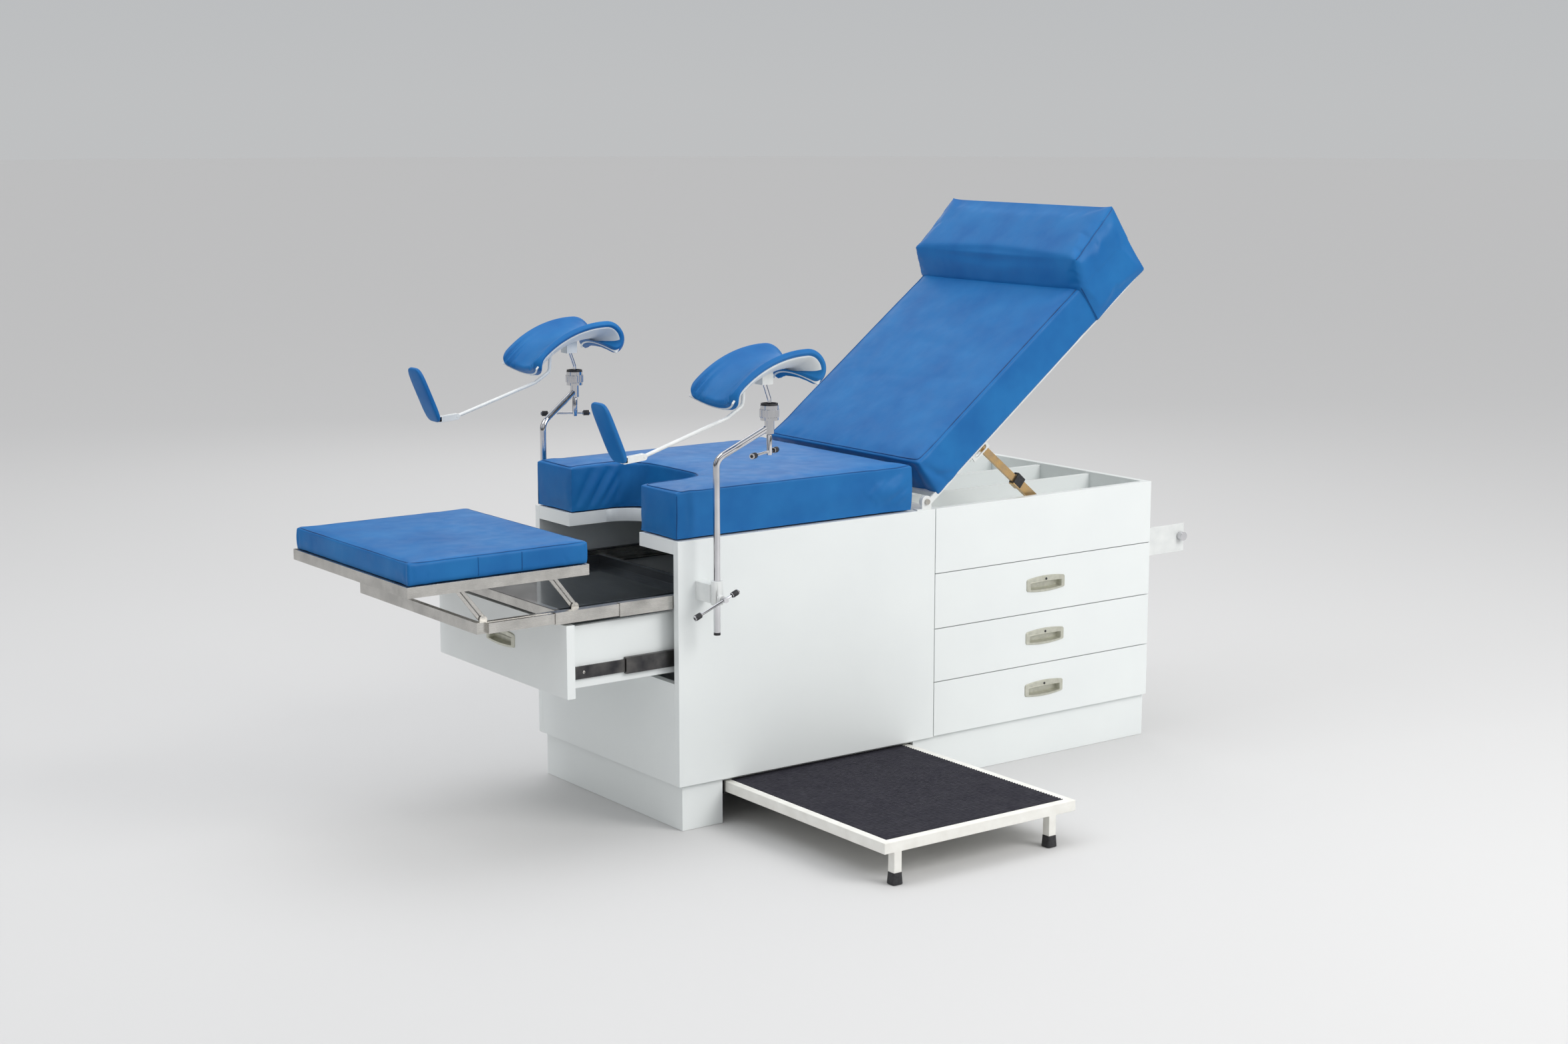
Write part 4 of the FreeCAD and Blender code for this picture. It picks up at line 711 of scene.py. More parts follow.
def block(low, high):
    """The eight corners and six faces of a plain box."""
    corner = np.array([[x, y, z] for x in (0, 1) for y in (0, 1) for z in (0, 1)], float)
    faces = [[0, 1, 3, 2], [4, 6, 7, 5], [0, 4, 5, 1], [2, 3, 7, 6], [0, 2, 6, 4], [1, 5, 7, 3]]
    return np.array(low) + corner * (np.array(high) - np.array(low)), faces


tilt = joint_named("backrest_tilt")
hinge = np.array(tilt["pos_m"])
rise = math.radians(tilt["range_deg"][1] - tilt["range_deg"][0])
turn_back = Matrix.Rotation(-rise, 4, Vector(tilt["axis"]))
lay_back = Matrix.Translation(hinge) @ turn_back @ Matrix.Translation(-hinge)
LIE_FLAT = np.array(lay_back)
STAND_UP = np.array(lay_back.inverted())


def turned(points, turn):
    """Points moved by a 4 by 4 matrix."""
    return points @ turn[:3, :3].T + turn[:3, 3]


def flat_box(node):
    """Lowest and highest corner of a backrest node with the backrest laid flat."""
    points = turned(joined_points(node)[0], LIE_FLAT)
    return points.min(axis=0), points.max(axis=0)


def raise_piece(piece):
    set_points(piece.data, turned(points_of(piece.data), STAND_UP))


def dress_back():
    low, high = flat_box("back_cushion")
    hidden_end = flat_box("pillow")[0][0] + UNDER_PILLOW
    low[2] = flat_box("back_board")[0][2] + COVER_ABOVE_BOARD_FACE
    cushion = stuffed("back_cover", *block(low, (hidden_end, high[1], high[2])), vinyl, BACK_DRAW_IN,
                      BACK_SWELL, floor=low[2], square=BACK_SKIN)
    top = high[2]
    length = hidden_end - low[0]
    folds = []
    for share, reach, lean, depth in ((0.30, 0.20, 0.05, 0.0007), (0.43, 0.24, -0.03, 0.0008),
                                      (0.55, 0.22, 0.04, 0.0010), (0.66, 0.25, 0.02, 0.0009),
                                      (0.77, 0.20, -0.04, 0.0010), (0.90, 0.23, 0.01, 0.0008)):
        at = low[0] + share * length
        folds.append(((at, -reach, top), (at + lean, reach * 0.8, top), 0.016, depth))
    for side in (-1, 1):
        edge = side * high[1]
        folds += [
            ((low[0] + 0.012, edge, top - 0.015), (low[0] + 0.045, edge, low[2] + 0.010), 0.008, 0.0050),
            ((low[0] + 0.030, edge, low[2] + 0.045), (low[0] + 0.085, edge, low[2] + 0.006), 0.006, 0.0032),
            ((low[0] + 0.004, edge - side * 0.035, top - 0.02), (low[0], edge - side * 0.05, low[2] + 0.01),
             0.009, 0.0050),
            ((low[0], edge - side * 0.10, top - 0.03), (low[0], edge - side * 0.12, low[2] + 0.01),
             0.008, 0.004),
        ]
    creased(cushion, folds)
    raise_piece(cushion)
    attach(cushion, "backrest")
    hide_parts("back_cushion")
    inset = BACK_EDGE_SEAM
    rim = [(hidden_end - 0.02, low[1] + inset, top), (low[0] + inset, low[1] + inset, top),
           (low[0] + inset, high[1] - inset, top), (hidden_end - 0.02, high[1] - inset, top)]
    sew("back_top_seam", turned(np.array(rim), STAND_UP), cushion, "backrest", False)


dress_back()
painted_plywood = painted_ply()
dress(["back_board"], painted_plywood)
ease_node("back_board", 0.0012)

# ---------------------------------------------------------------- pillow
# A wedge of soft foam sewn to a sleeve that slips over the top of the backrest.  One side panel covers both
# the wedge and the cushion's flank, and its front edge is a seam square to the board.
PILLOW_LEAN = 0.028
PILLOW_FRONT = 0.069
PILLOW_SWELL = 0.0055
PILLOW_DRAW_IN = 0.002
SLEEVE_PROUD = 0.0035


def wedge(low, high, floor, pad_top):
    """Side outline of the pillow and its sleeve carried across the table's width."""
    start, end = low[0], high[0]
    outline = np.array([[start, floor], [end - 0.005, floor], [end, high[2]],
                        [start + PILLOW_LEAN, pad_top + PILLOW_FRONT], [start, pad_top]])
    near = np.column_stack([outline[:, 0], np.full(5, low[1]), outline[:, 1]])
    far = near * [1, -1, 1]
    sides = [[k, (k + 1) % 5, (k + 1) % 5 + 5, k + 5] for k in range(5)]
    return np.concatenate([near, far]), [[4, 3, 2, 1, 0], [5, 6, 7, 8, 9], *[side[::-1] for side in sides]]


def dress_pillow():
    low, high = flat_box("pillow")
    board_low = flat_box("back_board")[0]
    pad_high = flat_box("back_cushion")[1]
    low[1] -= SLEEVE_PROUD
    floor = board_low[2] + 0.0003
    points, faces = wedge(low, high, floor, pad_high[2])
    pillow = stuffed("pillow_cover", points, faces, vinyl, PILLOW_DRAW_IN, PILLOW_SWELL, floor=floor)
    mesh = pillow.data
    held = points_of(mesh)
    limit = -low[1] + 0.002 + 0.010 * np.clip((held[:, 2] - pad_high[2]) / 0.04, 0, 1)
    held[:, 1] = np.clip(held[:, 1], -limit, limit)
    set_points(mesh, held)
    edge = low[1]
    top_front = pad_high[2] + PILLOW_FRONT
    folds = []
    for side in (1, -1):
        e = side * edge
        folds += [
            ((low[0] + 0.020, e, pad_high[2] + 0.055), (low[0] + 0.004, e, pad_high[2] + 0.004),
             0.006, 0.0022),
            ((low[0] + 0.075, e, top_front - 0.02), (low[0] + 0.055, e, pad_high[2] - 0.02), 0.014, 0.0018),
            ((low[0] + 0.130, e, top_front - 0.01), (low[0] + 0.100, e, pad_high[2] - 0.03), 0.016, 0.0018),
            ((low[0] + 0.020, e, top_front - 0.012), (low[0] + 0.055, e, top_front + 0.004), 0.005, 0.0016),
        ]
    creased(pillow, folds)
    raise_piece(pillow)
    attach(pillow, "backrest")
    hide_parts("pillow")
    inner = 0.006
    for side, word in ((1, "near"), (-1, "far")):
        e = side * edge
        rim = np.array([[low[0] + PILLOW_LEAN + inner, e, top_front - 0.004],
                        [high[0] - inner, e, high[2] - 0.006]])
        sew(f"pillow_top_seam_{word}", turned(rim, STAND_UP), pillow, "backrest", False)
        hem = np.array([[low[0] + 0.004, e, floor + 0.004], [low[0] + 0.004, e, pad_high[2] - 0.002]])
        sew(f"pillow_hem_{word}", turned(hem, STAND_UP), pillow, "backrest", False)


dress_pillow()

# ---------------------------------------------------------------- hinge brackets and bolts
# Pressed steel plates, powder coated white, on the near and the far panel, with a zinc-plated bolt and nut as
# the pivot.  The paper rod's plates at the head end are the same steel.
POWDER_WHITE = (0.79, 0.81, 0.80)
POWDER_SHADE = (0.70, 0.725, 0.72)


def powder_coat(name, light, dark):
    """Baked powder paint: pebbled at under a millimetre, thin and greyer here and there."""
    made, tree, shader = new_finish(name, {"Coat Weight": 0.15, "Coat Roughness": 0.3})
    pebble = patches(tree, 0.0011, detail=1.0)
    drive(tree, shader, colour=shaded(tree, patches(tree, 0.03), dark, light),
          rough=between(tree, pebble, 0.36, 0.5), normal=relief(tree, pebble, 4e-5))
    return made


def drawn_metal(name, light, dark, rough, along, size=0.0012, depth=1.2e-5):
    """Brushed or drawn metal: hairlines many times longer along the piece than across it, and a cloudy
    tarnish."""
    made, tree, shader = new_finish(name, {"Metallic": 1.0})
    lines = patches(tree, size, stretch=along, detail=4.0)
    drive(tree, shader, colour=shaded(tree, patches(tree, 0.045), dark, light),
          rough=between(tree, lines, *rough), normal=relief(tree, lines, depth))
    return made


white_powder = powder_coat("white_powder_coat", POWDER_WHITE, POWDER_SHADE)
zinc_bolt = drawn_metal("zinc_bolt", (0.62, 0.60, 0.55), (0.45, 0.43, 0.39), (0.25, 0.4), (1, 1, 1))
dress(["cabinet_brackets", "back_lugs", "leg_clamps"], white_powder)
dress(["pivot_bolts"], zinc_bolt)
for plate in ("cabinet_brackets", "back_lugs", "leg_clamps", "pivot_bolts"):
    ease_node(plate, 0.0005)

# ---------------------------------------------------------------- backrest stays
# A telescopic stay on each side: a flat steel tube and the bar that slides in it, both yellow zinc plated,
# with a black moulded collar pressed over the tube's mouth.
ZINC_GOLD = (0.72, 0.47, 0.20)
ZINC_DULL = (0.55, 0.40, 0.24)
COLLAR_LONG = 0.0264
COLLAR_WALL = 0.0033
STAY_WIDE = 0.022
STAY_DEEP = 0.012


def yellow_zinc():
    """Chromate plating: gold that drifts to bronze and a little green, over drawn steel."""
    made, tree, shader = new_finish("yellow_zinc", {"Metallic": 1.0})
    drift = patches(tree, 0.018, detail=2.0)
    lines = patches(tree, 0.0010, stretch=(1, 1, 20), detail=3.0)
    drive(tree, shader, colour=shaded(tree, drift, ZINC_DULL, ZINC_GOLD),
          rough=between(tree, lines, 0.24, 0.38), normal=relief(tree, lines, 1.5e-5))
    return made


def rounded_ring(half_wide, half_deep, corner, steps=6):
    """Outline of a rounded oblong: a quarter circle at each corner, as x and y."""
    turn = np.linspace(0, np.pi / 2, steps)
    quarter = np.stack([np.cos(turn), np.sin(turn)], -1) * corner
    sides = []
    for k, (sx, sy) in enumerate(((1, 1), (-1, 1), (-1, -1), (1, -1))):
        spin = np.array([[math.cos(k * np.pi / 2), -math.sin(k * np.pi / 2)],
                         [math.sin(k * np.pi / 2), math.cos(k * np.pi / 2)]])
        sides.append(quarter @ spin.T + [sx * (half_wide - corner), sy * (half_deep - corner)])
    return np.concatenate(sides)


def hollow_bar(start, along, across, length, outer, inner):
    """Sleeve with a rounded outline outside and inside, joined by a flat wall at both ends.  across is the
    direction of the outline's x, and its y is square to both."""
    up = np.cross(along, across)
    rings = []
    for ring, at in ((inner, 0), (outer, 0), (outer, length), (inner, length)):
        rings.append(start + at * along + ring[:, :1] * across + ring[:, 1:] * up)
    points = np.concatenate(rings)
    sides = len(outer)
    faces = squares(4, sides, ring=True)
    inside = np.stack([np.arange(sides) + 3 * sides, (np.arange(sides) + 1) % sides + 3 * sides,
                       (np.arange(sides) + 1) % sides, np.arange(sides)], -1)
    return points, [*faces, *inside]


def dress_stays():
    pin = joint_named("stay_turn")["pos_m"]
    points = joined_points("stay_rods")[0]
    near = points[points[:, 1] < 0]
    top = near[np.argmax(near[:, 2])]
    reach = np.array([top[0] - pin[0], 0, top[2] - pin[2]])
    along = reach / np.linalg.norm(reach)
    across = np.array([0, 1.0, 0])
    channels = joined_points("stay_channels")[0]
    far_along = ((channels - pin) @ along).max()
    for side, word in ((-1, "near"), (1, "far")):
        flank = channels[channels[:, 1] * side > 0]
        middle = (flank[:, 1].min() + flank[:, 1].max()) / 2
        start = np.array([pin[0], middle, pin[2]]) + along * (far_along - COLLAR_LONG + 0.001)
        outer = rounded_ring(STAY_DEEP / 2 + COLLAR_WALL, STAY_WIDE / 2 + COLLAR_WALL, 0.003)
        inner = rounded_ring(STAY_DEEP / 2 - 0.0018, STAY_WIDE / 2 - 0.0018, 0.0008)
        sleeve = hollow_bar(start, along, across, COLLAR_LONG, outer, inner)
        collar = new_piece(f"stay_collar_{word}", *sleeve, black_nylon)
        ease(collar, 0.0006)
        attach(collar, "stay_channels")


gold_zinc = yellow_zinc()
dress(["stay_channels", "stay_rods"], gold_zinc)
for stay in ("stay_channels", "stay_rods"):
    ease_node(stay, 0.0007)
dress_stays()

# ---------------------------------------------------------------- sliding foot section
# A stainless frame on nested steel rails carries flat levers, which carry a smaller frame with the foot
# cushion.  Behind the cross bar hangs a polished steel drip tray, its colour painted near black as painted
# reflection.
STEEL = (0.60, 0.585, 0.555)
STEEL_DULL = (0.44, 0.43, 0.41)
RAIL_STEEL = (0.055, 0.055, 0.06)
RAIL_STEEL_WORN = (0.16, 0.155, 0.15)
# The pan's near-black colours are painted reflection: the dark surroundings a polished steel pan mirrors,
# painted into its colour.
PAN_PAINTED_REFLECTION_DARK = (0.018, 0.022, 0.026)
PAN_PAINTED_REFLECTION_LIGHT = (0.040, 0.046, 0.052)
FOOT_SWELL = 0.0030
FOOT_DRAW_IN = 0.0015
FOOT_SKIN = 0.0050
FOOT_SEAM_RADIUS = 0.0009
BRIGHT_BARS = ("foot_slide_frame", "foot_top_frame", "front_levers", "rear_levers")


def dark_pan():
    """Polished steel painted near black, as painted reflection of its dark surroundings, and lighter along
    shallow waves from pressing; wet-looking, with fine wiping marks.
    """
    made, tree, shader = new_finish("dark_pan", {"Coat Weight": 0.6, "Coat Roughness": 0.08,
                                                 "Specular IOR Level": 0.6})
    waves = patches(tree, 0.11, detail=1.0)
    wipes = patches(tree, 0.003, stretch=(1, 18, 1))
    drive(tree, shader, colour=shaded(tree, waves, PAN_PAINTED_REFLECTION_DARK, PAN_PAINTED_REFLECTION_LIGHT),
          rough=between(tree, wipes, 0.14, 0.24), normal=relief(tree, waves, 1.5e-3))
    return made


def dress_foot_cushion():
    low, high = (np.array(corner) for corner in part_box("foot_cushion"))
    cushion = stuffed("foot_cover", *block(low, high), vinyl, FOOT_DRAW_IN, FOOT_SWELL, floor=low[2],
                      square=FOOT_SKIN)
    top = high[2]
    folds = []
    for side in (-1, 1):
        edge = side * high[1]
        for x, depth in ((low[0] + 0.012, 0.0024), (high[0] - 0.012, 0.0020)):
            folds.append(((x, edge, top - 0.006), (x, edge, low[2] + 0.006), 0.004, depth))
        for x, lean in ((low[0] + 0.035, 0.012), (low[0] + 0.17, 0.016), (high[0] - 0.05, -0.014)):
            folds.append(((x, edge, low[2] + 0.002), (x + lean, edge, low[2] + 0.022), 0.004, 0.0018))
        corner = edge - side * 0.014
        folds.append(((low[0], corner, top - 0.006), (low[0], corner, low[2] + 0.006), 0.004, 0.0022))
    creased(cushion, folds)
    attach(cushion, "foot_rest")
    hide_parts("foot_cushion")
    inset = 0.007
    rim = [(low[0] + inset, low[1] + inset, top), (high[0] - inset, low[1] + inset, top),
           (high[0] - inset, high[1] - inset, top), (low[0] + inset, high[1] - inset, top)]
    sew("foot_top_seam", rim, cushion, "foot_rest", True, radius=FOOT_SEAM_RADIUS)
    length = high[0] - low[0]
    for side, word in ((-1, "near"), (1, "far")):
        for number, share in enumerate((0.38, 0.62)):
            x = low[0] + share * length
            edge = side * (high[1] + 0.001)
            ends = [(x, edge, top - 0.004), (x, edge, low[2] + 0.003)]
            sew(f"foot_side_seam_{word}_{number}", ends, cushion, "foot_rest", False,
                radius=FOOT_SEAM_RADIUS)


brushed_steel = drawn_metal("brushed_stainless", STEEL, STEEL_DULL, (0.22, 0.36), (30, 1, 1))
black_rail = drawn_metal("blackened_rail", RAIL_STEEL_WORN, RAIL_STEEL, (0.3, 0.45), (24, 1, 1))
# The drip tray's finish carries painted reflection in its near-black colour.
pan_painted_reflection = dark_pan()
dress([*BRIGHT_BARS, "foot_outer_rails", "foot_inner_rails"], brushed_steel)
dress(["fixed_slide_rails", "foot_drawer_mid_rails"], black_rail)
dress(["drip_tray"], pan_painted_reflection)
for bar in (*BRIGHT_BARS, "drip_tray"):
    ease_node(bar, 0.0012 if "frame" in bar else 0.0005)
dress_foot_cushion()

# ---------------------------------------------------------------- foot drawer
# A wide drawer under the foot section on full-extension ball slides, with the same front and pull as the
# others.  Its runners are black steel, each held by a screw.
TURNED_PULL = np.array([[0, -1.0, 0], [1.0, 0, 0]])
RUNNER_SKIN = 0.0003


def together(*shapes):
    """Several point and face lists made one."""
    points, faces, count = [], [], 0
    for own_points, own_faces in shapes:
        points.append(own_points)
        faces += [[int(corner) + count for corner in face] for face in own_faces]
        count += len(own_points)
    return np.concatenate(points), faces


def dress_runners(node, body):
    """The two ball runners share the drawer box's node, so each is covered by a thin black channel, which is
    an outer strip and two lips turned in over its edges, with a pan-head screw near the front."""
    points = joined_points(node)[0]
    wide = np.abs(points[:, 1]).max()
    rail = points[np.abs(points[:, 1]) > wide - 1e-5]
    low, high = rail.min(axis=0), rail.max(axis=0)
    for way, word in ((-1, "near"), (1, "far")):
        skin = sorted((way * wide, way * (wide + RUNNER_SKIN)))
        lip = sorted((way * (wide - 0.0045), way * (wide + RUNNER_SKIN)))
        strip = block((low[0], skin[0], low[2]), (high[0], skin[1], high[2]))
        over = block((low[0], lip[0], high[2]), (high[0], lip[1], high[2] + RUNNER_SKIN))
        under = block((low[0], lip[0], low[2] - RUNNER_SKIN), (high[0], lip[1], low[2]))
        channel = new_piece(f"runner_{word}", *together(strip, over, under), black_rail)
        screw = [(0, 0.0004), (0, 0.0034), (0.0004, 0.0034), (0.0009, 0.0026), (0.0011, 0.0004)]
        start = (low[0] + 0.030, way * (wide + RUNNER_SKIN), (low[2] + high[2]) / 2)
        head = new_piece(f"runner_screw_{word}", *lathe(screw, start, (0, way, 0), sides=20), brushed_steel)
        for piece, slot in ((channel, "black_steel"), (head, "stainless")):
            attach(piece, body)


dress_front("foot", "foot_drawer", TURNED_PULL)
dress(["foot_drawer_box"], white_laminate)
ease_node("foot_drawer_box", 0.0006)
dress_runners("foot_drawer_box", "foot_drawer")

# ---------------------------------------------------------------- pull-out step
# A cream-painted steel frame with a tread of ribbed black rubber, on two legs with rubber ferrules.
CREAM = (0.88, 0.875, 0.83)
CREAM_SHADE = (0.80, 0.79, 0.74)
MAT_DARK = (0.014, 0.014, 0.022)
MAT_DUST = (0.040, 0.038, 0.052)
RIB_PITCH = 0.0085
RIB_RISE = 0.0022
FERRULE_CORNER = 0.005
FERRULE_DRAFT = 0.0012


def mat_rubber():
    """Ribbed floor rubber: blue black, dustier in patches, matt with a scuffed grain."""
    made, tree, shader = new_finish("ribbed_rubber", {"Specular IOR Level": 0.3})
    scuff = patches(tree, 0.002, stretch=(6, 1, 1), detail=4.0)
    drive(tree, shader, colour=shaded(tree, scuff, MAT_DARK, MAT_DUST, (0.35, 0.8)),
          rough=between(tree, patches(tree, 0.04), 0.62, 0.8), normal=relief(tree, scuff, 8e-5))
    return made


def dress_mat():
    """Ribs run along X: the height across the tread is a rounded square wave, (tanh of a sine), and the sides
    drop to the sheet below."""
    low, high = (np.array(corner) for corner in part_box("step_mat"))
    count = int((high[1] - low[1]) / RIB_PITCH)
    across = np.linspace(0, 1, count * 10 + 1)
    rib = np.tanh(2.2 * np.cos(2 * np.pi * count * across)) / np.tanh(2.2)
    y = low[1] + across * (high[1] - low[1])
    z = high[2] - RIB_RISE / 2 + RIB_RISE / 2 * rib
    profile = np.stack([np.r_[low[1], y, high[1]], np.r_[low[2], z, low[2]]], -1)
    ends = [np.column_stack([np.full(len(profile), x), profile]) for x in (low[0], high[0])]
    points = np.concatenate(ends)
    rows = len(profile)
    k = np.arange(rows - 1)
    faces = [*np.stack([k, k + rows, k + rows + 1, k + 1], -1)]
    faces += [list(range(rows)), list(range(rows, 2 * rows))[::-1], [0, rows - 1, 2 * rows - 1, rows]]
    tread = new_piece("ribbed_mat", points, faces, mat_rubber(), sharp=50)
    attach(tread, "step")
    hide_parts("step_mat")


def dress_ferrules():
    """Moulded rubber boot on each leg: a rounded square that widens to the floor, with a shallow lip."""
    low, high = (np.array(corner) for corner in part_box("step_feet"))
    half = (high[1] - low[1]) / 2
    tall = high[2] - low[2]
    steps = ((0.0, half - 0.0015), (0.0012, half), (tall - 0.004, half - FERRULE_DRAFT),
             (tall - 0.001, half - FERRULE_DRAFT), (tall, half - 0.002), (tall, half - 0.0032))
    stack = np.stack([np.column_stack([rounded_ring(wide, wide, FERRULE_CORNER), np.full(24, z)])
                      for z, wide in steps])
    boots = []
    for word, x in (("left", low[0] + half), ("right", high[0] - half)):
        points = stack.reshape(-1, 3) + [x, (low[1] + high[1]) / 2, low[2]]
        faces = [*squares(len(steps), 24, ring=True), list(range(24))[::-1],
                 list(range(24 * (len(steps) - 1), 24 * len(steps)))]
        boots.append(new_piece(f"ferrule_{word}", points, faces, black_nylon))
        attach(boots[-1], "step")
    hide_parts("step_feet")


cream_paint = powder_coat("cream_powder_coat", CREAM, CREAM_SHADE)
dress(["step_frame"], cream_paint)
ease_node("step_frame", 0.0016)
dress_mat()
dress_ferrules()

# ---------------------------------------------------------------- paper rod
# A chromed rod with a knob at each end, across the head end, that the paper roll turns on.
CHROME = (0.72, 0.72, 0.74)
CHROME_DULL = (0.62, 0.62, 0.64)
bright_chrome = drawn_metal("chrome", CHROME, CHROME_DULL, (0.05, 0.13), (1, 1, 1), size=0.02, depth=4e-6)
dress(["paper_rod"], bright_chrome)
ease_node("paper_rod", 0.0012)

# ---------------------------------------------------------------- leg holders
# On each side a chromed post stands in a clamp on the cabinet.  Its arm ends in a socket with a fluted ball
# nut, and the ball's stem carries a padded cup and, on a thin bent rod, a small foot pad.  T-bars with rubber
# caps lock the post and the ball.
CAP_LONG = 0.0185
CAP_RADIUS = 0.0064
NUT_GRIP_RADIUS = 0.0213
NUT_GRIP_TALL = 0.018
CUP_LONG_RADIUS = 0.250
CUP_LONG_TURN = math.radians(48)
CUP_CURL_RADIUS = 0.024
CUP_CURL_TURN = math.radians(135)
TROUGH_RADIUS = 0.105
CUP_THICK = 0.015
CUP_HALF_WIDE = 0.080
CUP_PLEATS = 11
CUP_PLEAT_DEPTH = 0.0040
CUP_BEAD = 0.0095
CUP_TIP_BEAD = 0.0160
PAD_LEAN = math.radians(23)
PAD_LONG = 0.138
PAD_WIDE = 0.060
PAD_THICK = 0.015
HEEL_FROM_HINGE = np.array([-0.048, 0, -0.004])
CREST_FROM_BALL = np.array([0.043, 0, 0.1145])
NUT_BELOW_BALL = 0.008
CLAMP_BAR_DIP = math.radians(22)
LOCK_BAR_SWING = math.radians(27)
CLAMP_BAR_REACH = (0.084, 0.038)
LOCK_BAR_REACH = (0.082, 0.036)


def signed_power(value, power):
    return np.sign(value) * np.abs(value) ** power


def cup_surface(crest, rows=150, columns=96):
    """Saddle pad.  One way round is a boxy ellipse: its long side spreads over the trough by an angle, its
    short side is the foam's thickness, crowned in the middle.  The other way runs down a long arc from the
    crest to the foot end and over a tight curl to the head end, and the ellipse shrinks to a line at both
    tips.  The cover rolls under the shell's rim in a bead, fatter at the tips.  Near the foot tip the foam
    ripples in pleats that die out within a third of the length."""
    long_run = CUP_LONG_RADIUS * CUP_LONG_TURN
    curl_run = CUP_CURL_RADIUS * CUP_CURL_TURN
    share = (1 - np.cos(np.linspace(0, np.pi, rows))) / 2
    run = -long_run + share * (long_run + curl_run)
    turn = np.linspace(0, 2 * np.pi, columns, endpoint=False)
    spread = math.asin(CUP_HALF_WIDE / (TROUGH_RADIUS + CUP_THICK / 2))
    tip = np.minimum(run + long_run, curl_run - run)
    corner = np.sqrt(np.clip(1 - (1 - np.clip(tip / 0.030, 0, 1)) ** 2, 0, 1))[:, None]
    thin = np.sqrt(np.clip(1 - (1 - np.clip(tip / 0.010, 0, 1)) ** 2, 0, 1))[:, None]
    wide = signed_power(np.cos(turn), 0.32)[None, :]
    deep = signed_power(np.sin(turn), 0.55)[None, :]
    beta = spread * wide * (0.72 + 0.28 * corner)
    crown = 1 + 0.18 * (1 - wide ** 2)
    fade = np.exp(-(((run + long_run) / 0.055) ** 2))[:, None]
    pleats = CUP_PLEAT_DEPTH * fade * (np.cos(CUP_PLEATS * beta / spread * np.pi) - 0.4) * (deep > 0)
    back_fade = np.exp(-(((curl_run - run) / 0.030) ** 2))[:, None]
    pleats = pleats + 0.5 * CUP_PLEAT_DEPTH * back_fade * np.cos(9 * beta / spread * np.pi) * (deep > 0)
    middle = TROUGH_RADIUS + CUP_THICK / 2
    bead = CUP_BEAD * np.abs(wide) ** 10 + CUP_TIP_BEAD * np.exp(-((tip / 0.018) ** 2))[:, None]
    rho = middle - thin * (deep * CUP_THICK / 2 * np.where(deep > 0, crown, 1.0) + pleats * np.abs(deep))
    rho = rho + thin * bead * np.clip(-deep, 0, 1)
    lift = TROUGH_RADIUS - rho * np.cos(beta)
    on_arc = (run <= 0)[:, None]
    bend = np.where(on_arc, CUP_LONG_RADIUS, CUP_CURL_RADIUS)
    angle = run[:, None] / bend
    x = crest[0] + (bend + lift) * np.sin(angle)
    z = crest[2] - bend + (bend + lift) * np.cos(angle)
    y = crest[1] + rho * np.sin(beta)
    points = np.stack([x, y, z], -1).reshape(-1, 3)
    ends = [list(range(columns)), list(range((rows - 1) * columns, rows * columns))[::-1]]
    return points, [*squares(rows, columns, ring=True)[:, ::-1], *ends]


def slab_surface(rows=40, columns=96):
    """Rounded pad as a boxy ellipsoid: every sine and cosine is raised to a small power, which flattens the
    faces and leaves the edges round; it is a little fuller in the middle."""
    rise = np.linspace(-np.pi / 2, np.pi / 2, rows)[:, None]
    turn = np.linspace(0, 2 * np.pi, columns, endpoint=False)[None, :]
    flat = signed_power(np.cos(rise), 0.35)
    across = flat * signed_power(np.cos(turn), 0.42)
    along = flat * signed_power(np.sin(turn), 0.42)
    crown = 0.86 + 0.20 * (1 - along ** 2) * (1 - across ** 2)
    deep = signed_power(np.sin(rise), 0.5) * crown
    points = np.stack([deep * PAD_THICK / 2, across * PAD_WIDE / 2, along * PAD_LONG / 2], -1)
    return points.reshape(-1, 3), squares(rows, columns, ring=True)


def eyed_bar(start, end, radius, y0, y1, steps=12):
    """Flat bar with half-round ends between two points in the X-Z plane, from y0 to y1."""
    run = np.array(end) - np.array(start)
    lean = math.atan2(run[2], run[0])
    turn = np.linspace(-np.pi / 2, np.pi / 2, steps)
    far_end = np.stack([np.cos(lean + turn), np.sin(lean + turn)], -1) * radius + [end[0], end[2]]
    near_end = np.stack([np.cos(lean + np.pi + turn), np.sin(lean + np.pi + turn)], -1) * radius + [start[0],
                                                                                                   start[2]]
    outline = np.concatenate([far_end, near_end])
    count = len(outline)
    points = np.concatenate([np.column_stack([outline[:, 0], np.full(count, y), outline[:, 1]])
                             for y in (y0, y1)])
    k = np.arange(count)
    side = np.stack([k, (k + 1) % count, (k + 1) % count + count, k + count], -1)
    return points, [*side[:, ::-1], list(range(count)), list(range(count, 2 * count))[::-1]]


def dress_caps(name, centre, aim, long_end, short_end, body):
    """A domed rubber cap over each end of a T-bar."""
    dome = [(0.0, 0.0012), (0.0004, 0.0036), (0.0016, 0.0056), (0.0036, CAP_RADIUS),
            (CAP_LONG - 0.003, CAP_RADIUS), (CAP_LONG - 0.0015, CAP_RADIUS - 0.0004),
            (CAP_LONG, CAP_RADIUS - 0.0014), (CAP_LONG, 0.0031)]
    for word, reach, way in (("long", long_end, 1), ("short", short_end, -1)):
        start = centre + aim * way * (reach + 0.0004)
        cap = new_piece(f"{name}_cap_{word}", *lathe(dome, start, -aim * way, sides=28), black_nylon,
                        sharp=50)
        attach(cap, body)


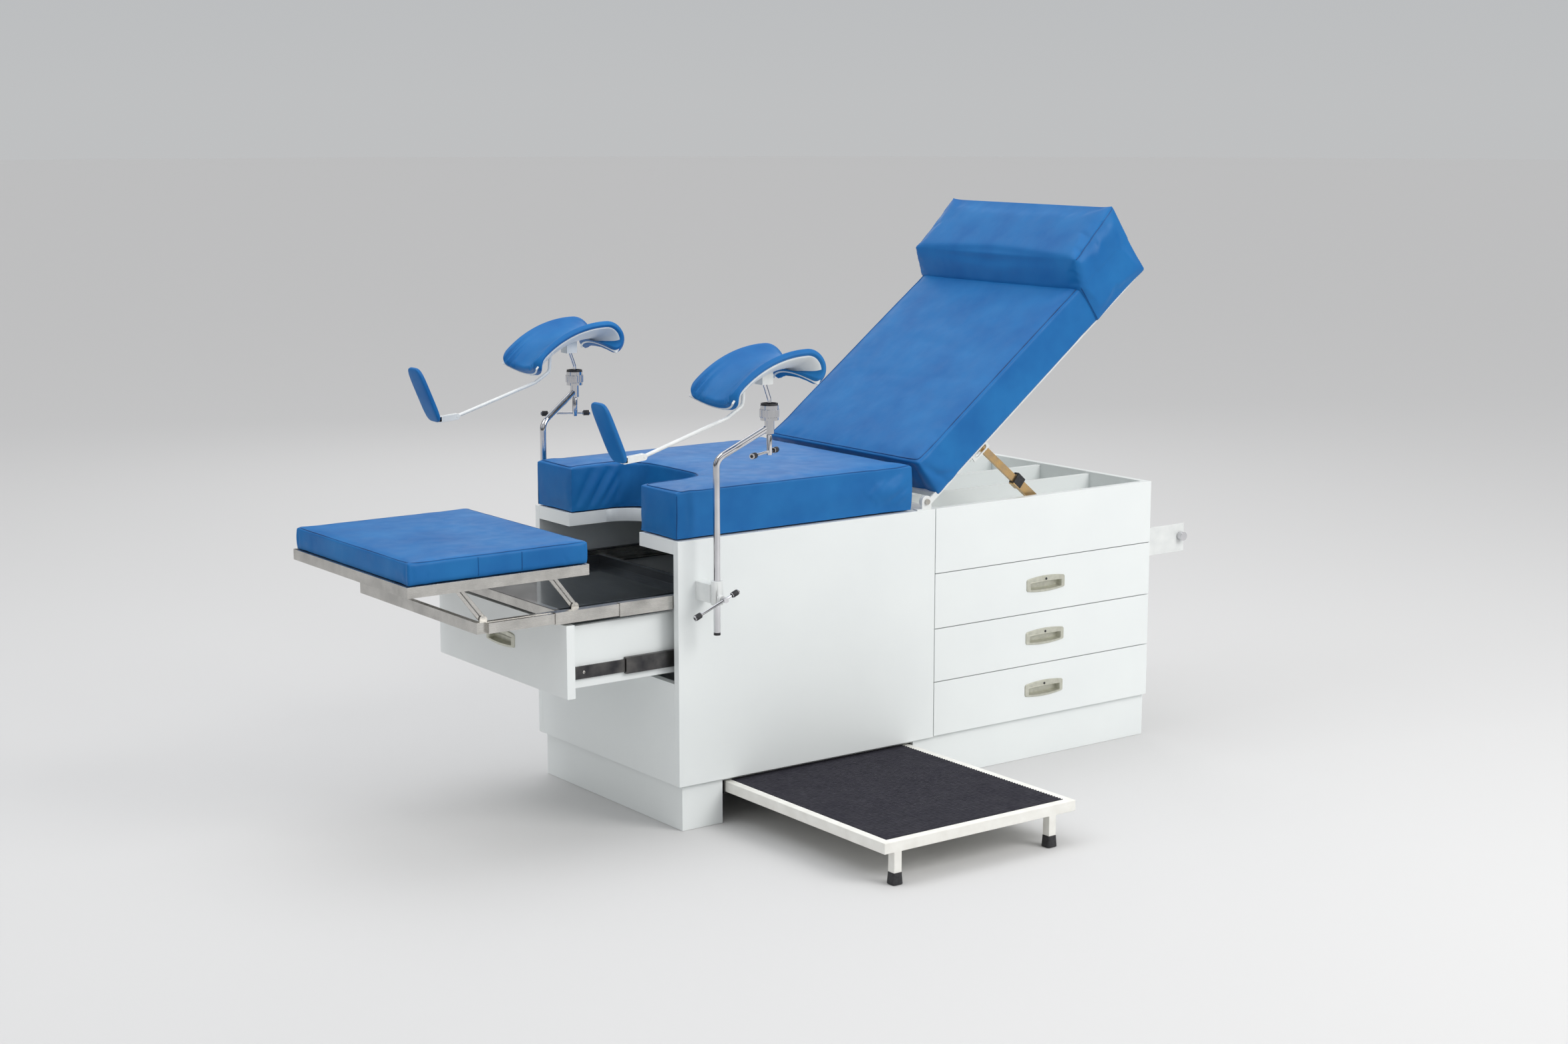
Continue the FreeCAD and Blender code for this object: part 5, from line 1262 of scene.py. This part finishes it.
def dress_foot_pad(word, hinge):
    """The pad leans back on its heel; the clip is two eyed cheeks, a bridge and the hinge pin."""
    heel = hinge + HEEL_FROM_HINGE
    flat, faces = slab_surface()
    flat = flat + [-PAD_THICK / 2, 0, PAD_LONG / 2]
    lean = -PAD_LEAN
    x = flat[:, 0] * math.cos(lean) + flat[:, 2] * math.sin(lean)
    z = flat[:, 2] * math.cos(lean) - flat[:, 0] * math.sin(lean)
    pad = new_piece(f"{word}_foot_cushion", np.stack([x, flat[:, 1], z], -1) + heel, faces, vinyl, sharp=180)
    y = hinge[1]
    cheeks = [eyed_bar(hinge, heel, 0.007, *sorted((y + way * 0.0033, y + way * 0.0063))) for way in (-1, 1)]
    bridge = block((heel[0] - 0.006, y - 0.0063, heel[2] - 0.005),
                   (heel[0] + 0.007, y + 0.0063, heel[2] + 0.007))
    pin = lathe([(0, 0.0010), (0, 0.0025), (0.014, 0.0025), (0.014, 0.0010)], (hinge[0], y - 0.007, hinge[2]),
                (0, 1, 0), sides=20)
    clip = new_piece(f"{word}_foot_clip", *together(*cheeks, bridge, pin), white_powder)
    ease(clip, 0.0006)
    for piece, slot in ((pad, "blue_vinyl"), (clip, "white_plastic")):
        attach(piece, f"{word}_foot_pad")
    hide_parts(f"{word}_foot_pad")


def dress_nut(word, ball):
    """Fluted grip round the ball nut."""
    low = ball[2] - NUT_BELOW_BALL
    edge = NUT_GRIP_RADIUS - 0.0008
    grip = [(0, 0.0196), (0, edge), (0.0012, NUT_GRIP_RADIUS), (0.0045, NUT_GRIP_RADIUS),
            (NUT_GRIP_TALL - 0.0045, NUT_GRIP_RADIUS), (NUT_GRIP_TALL - 0.0012, NUT_GRIP_RADIUS),
            (NUT_GRIP_TALL, edge), (NUT_GRIP_TALL, 0.0196)]
    nut = new_piece(f"{word}_nut_grip", *lathe(grip, (ball[0], ball[1], low), (0, 0, 1), sides=192, flutes=24,
                                               depth=0.045), bright_chrome, sharp=30)
    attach(nut, f"{word}_post")


def dress_holder(word, outward):
    """outward is -1 on the near side and 1 on the far side."""
    places = {joint["name"]: np.array(joint["pos_m"]) for joint in frame["joints"] if "pos_m" in joint}
    for finish, nodes in ((bright_chrome, ("post", "clamp_screw", "lock_screw", "cup_stem")),
                          (black_nylon, ("post_plug", "swivel_ring")),
                          (white_powder, ("foot_rod", "cup_shell"))):
        dress([f"{word}_{node}" for node in nodes], finish)
    for node in ("clamp_screw", "lock_screw", "cup_shell", "post_plug"):
        ease_node(f"{word}_{node}", 0.0006)
    ball = places[f"{word}_cup_tilt"]
    cup = new_piece(f"{word}_cup_cover", *cup_surface(ball + CREST_FROM_BALL), vinyl, sharp=180)
    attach(cup, f"{word}_cup")
    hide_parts(f"{word}_cup_pad")
    dress_nut(word, ball)
    dress_foot_pad(word, places[f"{word}_foot_pad_tilt"])
    clamp_aim = np.array([-math.cos(CLAMP_BAR_DIP), 0, -math.sin(CLAMP_BAR_DIP)])
    lock_aim = np.array([-math.cos(LOCK_BAR_SWING), outward * math.sin(LOCK_BAR_SWING), 0])
    dress_caps(f"{word}_clamp_bar", places[f"{word}_clamp_screw_turn"], clamp_aim, *CLAMP_BAR_REACH,
               f"{word}_clamp_screw")
    dress_caps(f"{word}_lock_bar", places[f"{word}_lock_screw_turn"], lock_aim, *LOCK_BAR_REACH,
               f"{word}_lock_screw")


for holder, side_sign in (("near", -1), ("far", 1)):
    dress_holder(holder, side_sign)
